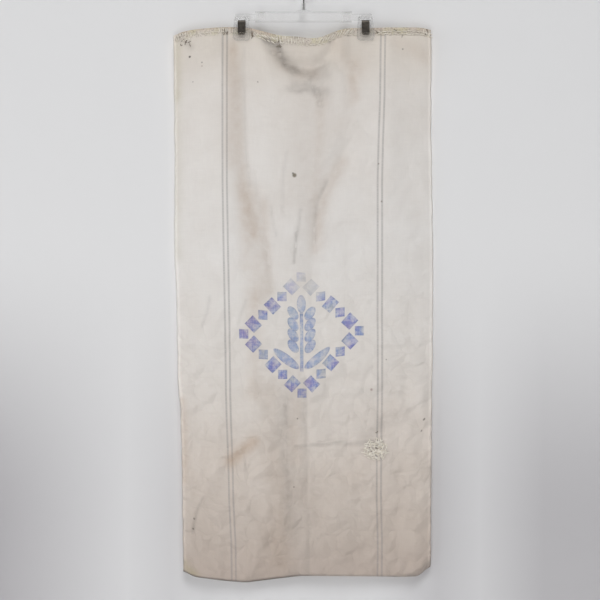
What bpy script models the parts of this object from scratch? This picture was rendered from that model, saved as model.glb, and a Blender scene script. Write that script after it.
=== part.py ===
"""Cotton feed sack hung by its mouth from a clear clip hanger.

Metres, +Z up, the front of the sack towards -Y. The origin is the point of the wire hook that rests
on a rail or a nail, so everything hangs below it.
"""

import math
from collections import namedtuple

import bmesh
import bpy
from mathutils import Matrix, Vector

MM = 0.001

# Sizes of the cloth
WALL = 1.2 * MM  # one layer of the heavy cotton
LAYER_GAP = 0.4 * MM  # between the two layers where the clips press them together
HEM_TURN = 0.5 * MM  # what the turned hem adds to the outside of a layer
HEM_DEPTH = 13 * MM
HEM_STEP = 2 * MM  # height over which the hem's lower edge thins out
OUTER_COLUMNS = 5  # of the sheet, outside each clip
JAW_COLUMNS = 2  # behind each clip
MIDDLE_COLUMNS = 11  # between the clips
LONG_ROWS = 30  # of the sheet, below the mouth's close rows
SIDE_FOLD = 2.4 * MM  # how far in from the pressed side fold a layer reaches its full slope
SIDE_INSET = 1.25  # walls' thickness at the side fold, as a share of WALL
PLACE_ROUNDS = 3  # a place's height and side edges depend on each other, so it is found in rounds
BOTTOM_SEAM = 4 * MM  # height of the closed strip at the bottom
CLOTH_LENGTH = 1080 * MM  # from mouth to bottom seam
LENS = 0.75  # how fast the bag fills out from its sides: 1 is a sine, less is fuller
SIDE_FADE = 0.16  # share of the width beside each side fold where folds die away
SEAM_FADE = 60 * MM  # height above the bottom seam where folds die away
FOLD_FALL = 1.6  # how steeply a fold falls off across its reach
GRIP_REACH = 46 * MM  # distance from the jaws at which the cloth hangs free
GRIP_BESIDE = 1.3  # the cloth opens sooner beside a jaw
GRIP_BELOW = 0.62  # and later below it
EVEN_FROM = 30 * MM  # rows follow the mouth's line down to here,
EVEN_BY = 200 * MM  # and share out the length evenly from here

# Sizes of the hanger
CLEAR = 0.3 * MM  # between pieces that touch
PLAY = 0.1 * MM  # more room for the cloth between the jaws
BAR_TOP = -80 * MM
BAR_HEIGHT = 19.7 * MM
BAR_HALF_LENGTH = 95 * MM
WEB_THICKNESS = 4 * MM
FLANGE_DEPTH = 7 * MM
FLANGE_HEIGHT = 2.2 * MM
TONGUE_TOP = -84 * MM
TONGUE_BOTTOM = -96.5 * MM
TONGUE_OVERHANG = 13 * MM  # past the middle of each clip
TONGUE_CORNER = 2.5 * MM
FUSED = 0.98  # the tongue is this share of the web's thickness, so that no faces coincide
NECK_TOP = -63 * MM
NECK_RADIUS = 3.4 * MM
GUSSET_HALF_WIDTH = 16 * MM
GUSSET_HEIGHT = 5 * MM
GUSSET_LIP = 0.8 * MM
GUSSET_THICKNESS = 3.2 * MM
NECK_SUNK = 1.4 * MM  # how far the neck and the gusset reach down into the bar
WIRE_RADIUS = 1.7 * MM
HOOK_INNER_RADIUS = 19.5 * MM
STEM_FOOT = -76 * MM
STEM_HEAD = -52 * MM
HOOK_START = math.radians(-55)  # where the stem's bend meets the round, from +X
HOOK_END = math.radians(205)
HOOK_BALL = 1.75  # the ball at the wire's end, in wire radii
BALL_NECK = math.radians(35)
CLIP_X = 122 * MM  # middle of each clip from the middle of the bar
JAW_TOP = -89 * MM
JAW_BOTTOM = -137 * MM
JAW_TOP_WIDTH = 30 * MM
JAW_BOTTOM_WIDTH = 35 * MM
JAW_THICKNESS = 2.8 * MM
JAW_WAIST = -118 * MM  # the jaw is full width up to here,
JAW_NECK = -100 * MM  # and its finger end's width from here
JAW_CORNER = 2.4 * MM
JAW_RIM = 2.2 * MM
JAW_MARGIN = 2 * MM  # flat cloth around the jaws' footprint
JAW_RECESS = 0.8 * MM
JAW_FLARE = 0.35  # outward lean of the finger ends, metre for metre
SPRING_TOP = -97.5 * MM
SPRING_BOTTOM = -126 * MM
SPRING_WIDTH = 15.4 * MM
SPRING_THICKNESS = 0.9 * MM
SPRING_CORNER = 2.2 * MM  # bend over the top
SPRING_TIP_CORNER = 3 * MM  # rounded corners of the ends
SPRING_WINDOW = 0.7 * MM  # room round the spring in the jaws' windows
WINDOW_HEIGHT = 5.7 * MM

PRESSED = LAYER_GAP / 2 + WALL  # half thickness of the flat sack between the jaws
JAW_INNER = PRESSED + HEM_TURN + CLEAR + PLAY
CLIP_SIDES = (("left", -1), ("right", 1))

# Outline of the hung sack, in millimetres
Side = namedtuple("Side", "z left right")
SIDES = (
    Side(z=-112, left=-257, right=251),
    Side(z=-350, left=-255, right=253),
    Side(z=-550, left=-255, right=257),
    Side(z=-650, left=-251, right=256),
    Side(z=-800, left=-248, right=254),
    Side(z=-850, left=-243, right=253),
    Side(z=-945, left=-240, right=252),
    Side(z=-1080, left=-238, right=251),
    Side(z=-1204, left=-237, right=250),
)
Edge = namedtuple("Edge", "x z")
MOUTH = (
    Edge(x=-257, z=-128),
    Edge(x=-240, z=-120),
    Edge(x=-212, z=-115),
    Edge(x=-150, z=-110),
    Edge(x=-105, z=-111.5),
    Edge(x=-70, z=-122),
    Edge(x=-45, z=-128.5),
    Edge(x=-7, z=-131),
    Edge(x=16, z=-134),
    Edge(x=36, z=-131.5),
    Edge(x=56, z=-122),
    Edge(x=84, z=-113),
    Edge(x=105, z=-111.5),
    Edge(x=232, z=-111.5),
    Edge(x=251, z=-116),
)
BOTTOM = (
    Edge(x=-237, z=-1181),
    Edge(x=-216, z=-1193),
    Edge(x=-153, z=-1201),
    Edge(x=-113, z=-1204),
    Edge(x=-50, z=-1196),
    Edge(x=-7, z=-1191),
    Edge(x=143, z=-1192),
    Edge(x=227, z=-1193),
    Edge(x=250, z=-1173),
)

# How far each layer stands off the middle plane half way across, in millimetres
Belly = namedtuple("Belly", "z front back")
BELLY = (
    Belly(z=-110, front=7, back=7),
    Belly(z=-165, front=9, back=9),
    Belly(z=-300, front=10, back=10),
    Belly(z=-600, front=10.5, back=10),
    Belly(z=-900, front=10, back=9.5),
    Belly(z=-1080, front=8, back=8),
    Belly(z=-1150, front=5, back=5),
    Belly(z=-1205, front=0.4, back=0.4),
)

# Main folds: how far the cloth rises towards the outside (or sinks, below zero), the distance to
# either side at which that has faded, and the line of (x, z) places it follows, in millimetres
Fold = namedtuple("Fold", "layer rise reach line")
FOLDS = (
    # The slack between the clips rolls forward under the hem, over a trough shaped like a U
    Fold("front", 5.5, 26, ((-34, -146), (4, -158), (34, -148))),
    Fold("front", -4.6, 16, ((-66, -150), (-48, -178), (-7, -199), (28, -192), (52, -160))),
    # A trough runs down from the inner side of each clip, and the two meet above the middle
    Fold("front", -4.6, 20, ((-103, -190), (-105, -340), (-97, -450), (-74, -570), (-60, -650))),
    Fold("front", -4.6, 22, ((92, -190), (88, -330), (66, -450), (34, -550), (14, -630))),
    # The cloth between them stands forward as a long soft wedge
    Fold("front", 4.5, 40, ((-4, -240), (-12, -400), (-20, -560))),
    # Ridges under the outer side of each clip
    Fold("front", 3.0, 26, ((-150, -180), (-150, -400), (-142, -560))),
    Fold("front", 2.6, 30, ((160, -170), (164, -380), (150, -560))),
    # Lower half: a broad hollow left of the middle, with a crease beside it down to the bottom
    Fold("front", -3.6, 34, ((-52, -840), (-48, -1000), (-54, -1120))),
    Fold("front", 2.6, 12, ((5, -850), (11, -960), (7, -1060), (10, -1150))),
    Fold("front", 3.2, 38, ((150, -760), (120, -900), (140, -1040))),
    Fold("front", 2.6, 30, ((-150, -900), (-178, -1010), (-150, -1100))),
    # Creases from long folded storage, straight across
    Fold("front", -1.8, 14, ((30, -703), (255, -703))),
    Fold("front", 1.8, 14, ((5, -934), (130, -940))),
    Fold("front", -1.6, 14, ((-165, -968), (-80, -970))),
    # The back layer hangs in folds of its own
    Fold("back", 3.6, 30, ((-30, -150), (30, -152))),
    Fold("back", -4.2, 22, ((-100, -190), (-96, -420), (-60, -640))),
    Fold("back", -4.2, 24, ((98, -190), (80, -430), (30, -650))),
    Fold("back", 3.6, 44, ((0, -260), (-8, -560))),
    Fold("back", -3.2, 40, ((70, -800), (60, -1100))),
    Fold("back", 3.0, 40, ((-90, -820), (-110, -1080))),
)
CORNER_TURN = 16 * MM  # how far the lower right corner curls back
CORNER_REACH = 62 * MM


def between(low, high, at):
    """Smooth step from 0 at low to 1 at high."""
    share = min(max((at - low) / (high - low), 0.0), 1.0)
    return share * share * (3.0 - 2.0 * share)


def read_row(rows, key, value, at):
    """Value of a table's column at a place on its key column, straight between rows. All in metres."""
    rows = sorted(rows, key=lambda row: getattr(row, key))
    keys = [getattr(row, key) * MM for row in rows]
    values = [getattr(row, value) * MM for row in rows]
    if at <= keys[0]:
        return values[0]
    for i in range(1, len(keys)):
        if at <= keys[i]:
            share = (at - keys[i - 1]) / (keys[i] - keys[i - 1])
            return values[i - 1] + (values[i] - values[i - 1]) * share
    return values[-1]


def distance_to_line(x, z, line):
    nearest = math.inf
    for (ax, az), (bx, bz) in zip(line, line[1:]):
        start = Vector((ax, az)) * MM
        run = Vector((bx, bz)) * MM - start
        place = Vector((x, z)) - start
        share = min(max(place.dot(run) / run.length_squared, 0.0), 1.0)
        nearest = min(nearest, (place - run * share).length)
    return nearest


def folds_at(layer, x, z):
    total = 0.0
    for fold in FOLDS:
        if fold.layer == layer:
            away = distance_to_line(x, z, fold.line) / (fold.reach * MM)
            total += fold.rise * MM * math.exp(-away * away * FOLD_FALL)
    return total


def freedom(x, z):
    """0 where the jaws press the two layers together, 1 where the cloth hangs free of them."""
    free = 1.0
    for _, side in CLIP_SIDES:
        beside = max(abs(x - side * CLIP_X) - JAW_BOTTOM_WIDTH / 2 - JAW_MARGIN, 0.0)
        below = max(JAW_BOTTOM - JAW_MARGIN - z, 0.0)
        away = math.hypot(beside * GRIP_BESIDE, below * GRIP_BELOW)
        free *= between(0.0, GRIP_REACH, away)
    return free


def corner_curl(x, z):
    """Both layers turn back together at the lower right corner."""
    corner = Vector((SIDES[-1].right, BOTTOM[-2].z)) * MM
    away = (Vector((x, z)) - corner).length / CORNER_REACH
    return CORNER_TURN * max(1.0 - away, 0.0) ** 2


def layer_depth(layer, across, drop, x, z):
    """Distance of a layer's outer face from the middle plane of the sack."""
    belly = read_row(BELLY, "z", layer, z)
    lens = math.sin(math.pi * min(max(across, 0.0), 1.0)) ** LENS
    # Folds die away at the pressed sides, the bottom seam and the clips
    fade = between(0.0, SIDE_FADE, across) * between(0.0, SIDE_FADE, 1.0 - across)
    seam_fade = between(BOTTOM_SEAM, SEAM_FADE, z - read_row(BOTTOM, "x", "z", x))
    depth = (belly * lens + folds_at(layer, x, z) * fade * seam_fade) * freedom(x, z)
    hem = HEM_TURN * (1.0 - between(HEM_DEPTH, HEM_DEPTH + HEM_STEP, drop))
    return PRESSED + max(depth, 0.0) + hem


def columns_of_cloth():
    """Shares of the width at which the sheet has a column, close together beside the clips."""
    left = SIDES[0].left * MM
    width = SIDES[0].right * MM - left
    jaw = JAW_BOTTOM_WIDTH / 2 + JAW_MARGIN
    fold = SIDE_FOLD / width
    marks = (
        ((-CLIP_X - jaw - left) / width, OUTER_COLUMNS),
        ((-CLIP_X + jaw - left) / width, JAW_COLUMNS),
        ((CLIP_X - jaw - left) / width, MIDDLE_COLUMNS),
        ((CLIP_X + jaw - left) / width, JAW_COLUMNS),
        (1.0 - fold, OUTER_COLUMNS),
    )
    stops = [0.0, fold]
    for end, steps in marks:
        start = stops[-1]
        stops += [start + (end - start) * (i + 1) / steps for i in range(steps)]
    return stops + [1.0]


def rows_of_cloth():
    """Drops below the mouth at which the sheet has a row, in metres, down to the bottom seam."""
    drops = [0.0, HEM_DEPTH, HEM_DEPTH + HEM_STEP] + [drop * MM for drop in (28, 40, 54, 68, 84)]
    start = drops[-1]
    run = CLOTH_LENGTH - start
    return drops + [start + run * (i + 1) / LONG_ROWS for i in range(LONG_ROWS)]


def place_on_cloth(across, drop):
    """(x, z) of a point a share of the width across and a drop below the mouth."""
    x = SIDES[0].left * MM + across * (SIDES[0].right - SIDES[0].left) * MM
    z = 0.0
    for _ in range(PLACE_ROUNDS):
        top = read_row(MOUTH, "x", "z", x)
        foot = read_row(BOTTOM, "x", "z", x)
        # Rows near the mouth keep their drop in millimetres, and lower ones share out what is left
        even = top + (foot - top) * drop / CLOTH_LENGTH
        z = (top - drop) + (even - (top - drop)) * between(EVEN_FROM, EVEN_BY, drop)
        left = read_row(SIDES, "z", "left", z)
        x = left + across * (read_row(SIDES, "z", "right", z) - left)
    return x, z


def skin(mesh, rings):
    """Faces between neighbouring rings, cut along the same diagonal as seen from the front."""
    count = len(rings[0])
    half = count // 2
    for upper, lower in zip(rings, rings[1:]):
        for i in range(count):
            j = (i + 1) % count
            if i < half:
                mesh.faces.new((upper[i], lower[i], upper[j]))
                mesh.faces.new((upper[j], lower[i], lower[j]))
            else:
                mesh.faces.new((upper[i], lower[i], lower[j]))
                mesh.faces.new((upper[i], lower[j], upper[j]))


def close_bottom(mesh, ring):
    """Strip of faces that joins the front of the last ring to its back."""
    half = len(ring) // 2
    for i in range(half):
        front, front_next = ring[i], ring[i + 1]
        back, back_next = ring[-i % len(ring)], ring[-(i + 1) % len(ring)]
        # At the side folds front and back are one point, so the face there is a triangle
        mesh.faces.new(list(dict.fromkeys([front, front_next, back_next, back])))


def sack_ring(mesh, columns, drop, inset, raised=0.0):
    """One loop round the sack: the front from left to right, then the back from right to left."""
    front, back = [], []
    for across in columns:
        x, z = place_on_cloth(across, drop)
        curl = corner_curl(x, z)
        if across in (0.0, 1.0):
            inward = inset * SIDE_INSET * (1 if across == 0.0 else -1)
            point = mesh.verts.new((x + inward, curl, z + raised))
            front.append(point)
            continue
        if across in (columns[1], columns[-2]):
            x += inset * (1 if across < 0.5 else -1)
        near = layer_depth("front", across, drop, x, z) - inset
        far = layer_depth("back", across, drop, x, z) - inset
        front.append(mesh.verts.new((x, curl - near, z + raised)))
        back.append(mesh.verts.new((x, curl + far, z + raised)))
    return front + back[::-1]


def build_sack():
    columns = columns_of_cloth()
    drops = rows_of_cloth()
    mesh = bmesh.new()
    outer = [sack_ring(mesh, columns, drop, 0.0) for drop in drops]
    inner = [sack_ring(mesh, columns, drop, WALL) for drop in drops[:-1]]
    inner.append(sack_ring(mesh, columns, drops[-1], WALL, BOTTOM_SEAM))
    skin(mesh, outer)
    skin(mesh, inner[::-1])
    close_bottom(mesh, outer[-1])
    close_bottom(mesh, inner[-1])
    for i in range(len(outer[0])):
        j = (i + 1) % len(outer[0])
        mesh.faces.new((outer[0][i], outer[0][j], inner[0][j], inner[0][i]))
    bmesh.ops.recalc_face_normals(mesh, faces=mesh.faces[:])
    return new_object("sack", mesh, COTTON)


def new_material(name, colour, roughness, metallic=0.0, alpha=1.0):
    material = bpy.data.materials.new(name)
    material.use_nodes = True
    shader = material.node_tree.nodes["Principled BSDF"]
    shader.inputs["Base Color"].default_value = (*colour, 1.0)
    shader.inputs["Roughness"].default_value = roughness
    shader.inputs["Metallic"].default_value = metallic
    shader.inputs["Alpha"].default_value = alpha
    return material


def new_object(name, mesh, material):
    """Object of a finished bmesh, smooth where its faces turn by less than 35 degrees."""
    data = bpy.data.meshes.new(name)
    mesh.to_mesh(data)
    mesh.free()
    data.shade_smooth()
    data.set_sharp_from_angle(angle=math.radians(35))
    data.materials.append(material)
    made = bpy.data.objects.new(name, data)
    bpy.context.collection.objects.link(made)
    return made


def hide_cutter(cutter):
    cutter.hide_render = True
    cutter.display_type = "WIRE"


def add_boolean(target, other, operation):
    step = target.modifiers.new(f"{operation.lower()} {other.name}", "BOOLEAN")
    step.operation = operation
    step.solver = "EXACT"
    step.object = other
    hide_cutter(other)


def prism(outline, front_y, back_y):
    """Bmesh of an outline of (x, z) points, drawn anticlockwise from the front, between two depths."""
    mesh = bmesh.new()
    points = [mesh.verts.new((x, front_y, z)) for x, z in outline]
    face = mesh.faces.new(points)
    made = bmesh.ops.extrude_face_region(mesh, geom=[face])
    moved = [item for item in made["geom"] if isinstance(item, bmesh.types.BMVert)]
    bmesh.ops.translate(mesh, verts=moved, vec=(0, back_y - front_y, 0))
    bmesh.ops.recalc_face_normals(mesh, faces=mesh.faces[:])
    return mesh


def box_outline(left, right, bottom, top):
    return ((left, bottom), (right, bottom), (right, top), (left, top))


def round_corners(mesh, radius, segments):
    """Rounds the edges that run from front to back."""
    edges = [e for e in mesh.edges if abs(e.verts[0].co.y - e.verts[1].co.y) > 1e-6]
    bmesh.ops.bevel(
        mesh, geom=edges, offset=radius, segments=segments, profile=0.5, affect="EDGES", material=-1
    )


def build_bar():
    """Bar with a flange along both edges, a tongue in each clip, and the neck for the hook."""
    bottom = BAR_TOP - BAR_HEIGHT
    web = WEB_THICKNESS / 2
    flange = FLANGE_DEPTH / 2
    long = BAR_HALF_LENGTH

    profile = bmesh.new()
    shape = (
        (-flange, bottom), (flange, bottom), (flange, bottom + FLANGE_HEIGHT),
        (web, bottom + FLANGE_HEIGHT), (web, BAR_TOP - FLANGE_HEIGHT), (flange, BAR_TOP - FLANGE_HEIGHT),
        (flange, BAR_TOP), (-flange, BAR_TOP), (-flange, BAR_TOP - FLANGE_HEIGHT),
        (-web, BAR_TOP - FLANGE_HEIGHT), (-web, bottom + FLANGE_HEIGHT), (-flange, bottom + FLANGE_HEIGHT),
    )  # fmt: skip
    face = profile.faces.new([profile.verts.new((-long, y, z)) for y, z in shape])
    made = bmesh.ops.extrude_face_region(profile, geom=[face])
    moved = [item for item in made["geom"] if isinstance(item, bmesh.types.BMVert)]
    bmesh.ops.translate(profile, verts=moved, vec=(2 * long, 0, 0))
    bmesh.ops.recalc_face_normals(profile, faces=profile.faces[:])
    bar = new_object("hanger_bar", profile, CLEAR_PLASTIC)

    reach = CLIP_X + TONGUE_OVERHANG
    tongue_outline = box_outline(-reach, reach, TONGUE_BOTTOM, TONGUE_TOP)
    tongue_mesh = prism(tongue_outline, -web * FUSED, web * FUSED)
    round_corners(tongue_mesh, TONGUE_CORNER, 4)
    add_boolean(bar, new_object("tongue_through_bar", tongue_mesh, CLEAR_PLASTIC), "UNION")

    foot = BAR_TOP - NECK_SUNK / 2
    lip = BAR_TOP + GUSSET_LIP
    shoulder = BAR_TOP + GUSSET_HEIGHT
    wide = GUSSET_HALF_WIDTH
    gusset = (
        (-wide, foot), (wide, foot), (wide, lip),
        (NECK_RADIUS, shoulder), (-NECK_RADIUS, shoulder), (-wide, lip),
    )  # fmt: skip
    gusset_mesh = prism(gusset, -GUSSET_THICKNESS / 2, GUSSET_THICKNESS / 2)
    add_boolean(bar, new_object("gusset", gusset_mesh, CLEAR_PLASTIC), "UNION")

    neck_mesh = bmesh.new()
    neck_foot = BAR_TOP - NECK_SUNK
    bmesh.ops.create_cone(
        neck_mesh, cap_ends=True, segments=28, radius1=NECK_RADIUS * 1.03, radius2=NECK_RADIUS,
        depth=NECK_TOP - neck_foot, matrix=Matrix.Translation((0, 0, (NECK_TOP + neck_foot) / 2)),
    )  # fmt: skip
    add_boolean(bar, new_object("neck", neck_mesh, CLEAR_PLASTIC), "UNION")

    bore_mesh = bmesh.new()
    bore_foot = STEM_FOOT - CLEAR
    bore_head = NECK_TOP + 2 * MM
    bmesh.ops.create_cone(
        bore_mesh, cap_ends=True, segments=24, radius1=WIRE_RADIUS + CLEAR, radius2=WIRE_RADIUS + CLEAR,
        depth=bore_head - bore_foot, matrix=Matrix.Translation((0, 0, (bore_head + bore_foot) / 2)),
    )  # fmt: skip
    add_boolean(bar, new_object("neck_bore", bore_mesh, CLEAR_PLASTIC), "DIFFERENCE")


def hook_route():
    """Points up the stem, through a smooth bend and round the hook, as (x, z, share of the wire's radius)."""
    radius = HOOK_INNER_RADIUS + WIRE_RADIUS
    centre = WIRE_RADIUS - radius
    first, last = HOOK_START, HOOK_END
    start = Vector((0, STEM_HEAD))
    meet = Vector((radius * math.cos(first), centre + radius * math.sin(first)))
    pull = 11 * MM
    leave = start + Vector((0, pull))
    arrive = meet - Vector((-math.sin(first), math.cos(first))) * pull
    route = [(0.0, STEM_FOOT, 0.8), (0.0, STEM_FOOT + 0.5 * MM, 1.0)]
    steps = 12
    for i in range(steps):
        t = i / steps
        point = start * (1 - t) ** 3 + leave * 3 * t * (1 - t) ** 2
        point += arrive * 3 * t * t * (1 - t) + meet * t**3
        route.append((point.x, point.y, 1.0))
    turns = 34
    for i in range(turns + 1):
        angle = first + (last - first) * i / turns
        route.append((radius * math.cos(angle), centre + radius * math.sin(angle), 1.0))
    # The wire ends in a small ball
    end = Vector(route[-1][:2])
    ahead = Vector((-math.sin(last), math.cos(last)))
    ball = HOOK_BALL * WIRE_RADIUS
    ball_steps = 8
    for i in range(1, ball_steps + 1):
        angle = BALL_NECK + (math.radians(171) - BALL_NECK) * i / ball_steps
        place = end + ahead * ball * (math.cos(BALL_NECK) - math.cos(angle))
        route.append((place.x, place.y, HOOK_BALL * math.sin(angle)))
    return route


def build_hook():
    curve = bpy.data.curves.new("hook", "CURVE")
    curve.dimensions = "3D"
    curve.bevel_depth = WIRE_RADIUS
    curve.bevel_resolution = 3
    curve.use_fill_caps = True
    route = hook_route()
    line = curve.splines.new("POLY")
    line.points.add(len(route) - 1)
    for point, (x, z, share) in zip(line.points, route):
        point.co = (x, 0.0, z, 1.0)
        point.radius = share
    line.use_smooth = True
    curve.materials.append(STEEL)
    made = bpy.data.objects.new("hook", curve)
    bpy.context.collection.objects.link(made)


def build_jaw(side_name, side, face_name, facing):
    """One clear jaw: a rimmed plate, with a window for the spring, that leans out at its finger end."""
    top, bottom = JAW_TOP_WIDTH / 2, JAW_BOTTOM_WIDTH / 2
    middle = side * CLIP_X
    outline = (
        (middle - bottom, JAW_BOTTOM), (middle + bottom, JAW_BOTTOM), (middle + bottom, JAW_WAIST),
        (middle + top, JAW_NECK), (middle + top, JAW_TOP), (middle - top, JAW_TOP),
        (middle - top, JAW_NECK), (middle - bottom, JAW_WAIST),
    )  # fmt: skip
    inner_y = facing * JAW_INNER
    outer_y = facing * (JAW_INNER + JAW_THICKNESS)
    mesh = prism(outline, min(inner_y, outer_y), max(inner_y, outer_y))
    round_corners(mesh, JAW_CORNER, 3)
    outer_face = max(mesh.faces, key=lambda f: f.calc_center_median().y * facing)
    bmesh.ops.inset_region(mesh, faces=[outer_face], thickness=JAW_RIM, use_even_offset=True)
    bmesh.ops.translate(mesh, verts=outer_face.verts[:], vec=(0, -facing * JAW_RECESS, 0))
    name = f"clip_{side_name}_{face_name}"
    jaw = new_object(name, mesh, CLEAR_PLASTIC)
    for point in jaw.data.vertices:
        point.co.y += facing * JAW_FLARE * max(point.co.z - SPRING_TOP, 0.0)

    half = SPRING_WIDTH / 2 + SPRING_WINDOW
    head = SPRING_TOP + SPRING_WINDOW
    window = prism(
        box_outline(middle - half, middle + half, head - WINDOW_HEIGHT, head),
        min(inner_y, outer_y) - JAW_THICKNESS,
        max(inner_y, outer_y) + JAW_THICKNESS,
    )
    add_boolean(jaw, new_object(f"window_{name}", window, CLEAR_PLASTIC), "DIFFERENCE")


def spring_route():
    """(y, z, rounding) along the band: up the front, through both windows and down the back."""
    leg = JAW_INNER + JAW_THICKNESS - JAW_RECESS + CLEAR + SPRING_THICKNESS / 2
    head = SPRING_TOP - SPRING_THICKNESS / 2
    # The ends curl outwards, so that the band slides on over the jaws
    curl = ((2.2, 0.0), (1.6, 0.9), (0.8, 2.0), (0.0, 4.0))
    half = [(leg + out * MM, SPRING_BOTTOM + up * MM) for out, up in curl]
    half.append((leg, (SPRING_BOTTOM + head) / 2))
    bend_steps = 5
    for i in range(bend_steps + 1):
        angle = math.radians(90 * i / bend_steps)
        y = leg - SPRING_CORNER + SPRING_CORNER * math.cos(angle)
        half.append((y, head - SPRING_CORNER + SPRING_CORNER * math.sin(angle)))
    return [(-y, z) for y, z in half] + [(y, z) for y, z in half[::-1]]


def build_spring(side_name, side):
    """Steel band as a strip of faces along its route, with round corners at both ends."""
    middle = side * CLIP_X
    mesh = bmesh.new()
    corner = SPRING_TIP_CORNER
    rows = []
    for y, z in spring_route():
        from_end = z - SPRING_BOTTOM
        half = SPRING_WIDTH / 2
        if from_end < corner:
            half += math.sqrt(corner**2 - (corner - from_end) ** 2) - corner
        rows.append([mesh.verts.new((middle + half * share, y, z)) for share in (-1, -0.4, 0.4, 1)])
    for upper, lower in zip(rows, rows[1:]):
        for i in range(3):
            mesh.faces.new((upper[i], upper[i + 1], lower[i + 1], lower[i]))
    bmesh.ops.recalc_face_normals(mesh, faces=mesh.faces[:])
    spring = new_object(f"spring_{side_name}", mesh, DARK_STEEL)
    wall = spring.modifiers.new("band thickness", "SOLIDIFY")
    wall.thickness = SPRING_THICKNESS
    wall.offset = 0.0
    wall.use_even_offset = True


for old in list(bpy.data.objects):
    bpy.data.objects.remove(old)

COTTON = new_material("heavy unbleached cotton", (0.62, 0.58, 0.52), 0.9)
CLEAR_PLASTIC = new_material("clear moulded plastic", (0.86, 0.87, 0.88), 0.12, alpha=0.35)
STEEL = new_material("bright steel wire", (0.6, 0.6, 0.6), 0.3, metallic=1.0)
DARK_STEEL = new_material("dark spring steel", (0.09, 0.085, 0.08), 0.4, metallic=1.0)

build_sack()
build_bar()
build_hook()
for clip_name, clip_side in CLIP_SIDES:
    build_jaw(clip_name, clip_side, "front", -1)
    build_jaw(clip_name, clip_side, "back", 1)
    build_spring(clip_name, clip_side)
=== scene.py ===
# %% [markdown]
# # Feed sack on a clip hanger
#
# An old cotton feed sack hangs by its mouth from a clear clip hanger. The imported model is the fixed
# frame of this lesson: nothing of it moves or changes size. The hanger's bar and hook keep their
# solids and get new finishes, and its jaws and springs are made again with more detail. The sack's
# plain solid gives way to a finer sheet of cloth, with creases, hem stitches, a darn, woven stripes,
# a printed mark and the soil of long use.

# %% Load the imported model
import functools
import math
import random
from collections import namedtuple

import bmesh
import bpy
import numpy as np
from mathutils import Matrix, Vector


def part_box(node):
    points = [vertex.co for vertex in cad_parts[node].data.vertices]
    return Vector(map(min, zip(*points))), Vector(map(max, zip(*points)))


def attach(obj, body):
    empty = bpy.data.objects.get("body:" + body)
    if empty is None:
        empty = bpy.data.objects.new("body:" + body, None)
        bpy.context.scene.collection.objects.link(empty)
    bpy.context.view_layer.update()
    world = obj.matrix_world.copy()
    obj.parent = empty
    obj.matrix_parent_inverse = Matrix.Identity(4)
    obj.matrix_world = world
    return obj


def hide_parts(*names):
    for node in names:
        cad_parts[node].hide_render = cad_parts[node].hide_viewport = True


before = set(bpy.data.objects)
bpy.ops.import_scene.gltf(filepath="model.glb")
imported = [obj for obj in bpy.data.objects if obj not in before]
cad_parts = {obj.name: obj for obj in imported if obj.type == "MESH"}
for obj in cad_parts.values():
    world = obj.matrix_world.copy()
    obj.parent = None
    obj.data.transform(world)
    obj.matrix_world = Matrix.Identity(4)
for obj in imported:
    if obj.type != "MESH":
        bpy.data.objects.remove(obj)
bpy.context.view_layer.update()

MM = 0.001
print("packed nodes:", sorted(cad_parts))

# %% [markdown]
# ## Camera
#
# The photo is a straight front view from almost three metres with a portrait lens, so the sack's
# sides run nearly parallel. A real lens and a real distance give that by themselves, and they also
# show how much of the hem and the clips is seen from slightly above or below.

# %% Camera
VIEW_FROM = Vector((-0.0071, -2.791, -0.6474))
LENS = 85
SENSOR_WIDTH = 36


def in_scene(name, data):
    """A new object with its data, linked to the scene."""
    item = bpy.data.objects.new(name, data)
    bpy.context.collection.objects.link(item)
    return item


camera = in_scene("camera", bpy.data.cameras.new("camera"))
camera.data.lens = LENS
camera.data.sensor_width = SENSOR_WIDTH
camera.location = VIEW_FROM
camera.rotation_euler = (math.radians(90), 0, 0)
bpy.context.scene.camera = camera
print("camera", round(-VIEW_FROM.y, 2), "m in front of the sack")

# %% [markdown]
# ## What the clips leave to the cloth
#
# The two jaws of each clip press the front and the back of the sack together. Away from them the
# layers part and hang free. The clips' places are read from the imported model, so that the cloth
# always fits between them.

# %% Clips' places
jaw_low, jaw_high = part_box("clip_right_front")
CLIP_X = (jaw_low.x + jaw_high.x) / 2
JAW_HALF = (jaw_high.x - jaw_low.x) / 2
JAW_FOOT = jaw_low.z
print("clips at", round(CLIP_X / MM), "mm either side, jaws end at", round(JAW_FOOT / MM), "mm")

# %% [markdown]
# ## The outline of the hung sack
#
# A seamless sack is woven as a tube, so its front and back are one cloth, folded at both sides. Held
# by two clips, its mouth sags between them, and years of use have pulled its sides and its bottom
# out of true. A few listed points along each edge describe that better than any formula. They
# are the same points as in the imported solid.

# %% Outline, in millimetres
# Height, left edge, right edge
SIDES = np.array([
    (-112, -257, 251), (-350, -255, 253), (-550, -255, 257), (-650, -251, 256), (-800, -248, 254),
    (-850, -243, 253), (-945, -240, 252), (-1080, -238, 251), (-1204, -237, 250),
]) * MM
# Place across, height
MOUTH = np.array([
    (-257, -128), (-240, -120), (-212, -115), (-150, -110), (-105, -111.5), (-70, -122), (-45, -128.5),
    (-7, -131), (16, -134), (36, -131.5), (56, -122), (84, -113), (105, -111.5), (232, -111.5),
    (251, -116),
]) * MM
BOTTOM = np.array([
    (-237, -1181), (-216, -1193), (-153, -1201), (-113, -1204), (-50, -1196), (-7, -1191), (143, -1192),
    (227, -1193), (250, -1173),
]) * MM
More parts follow.
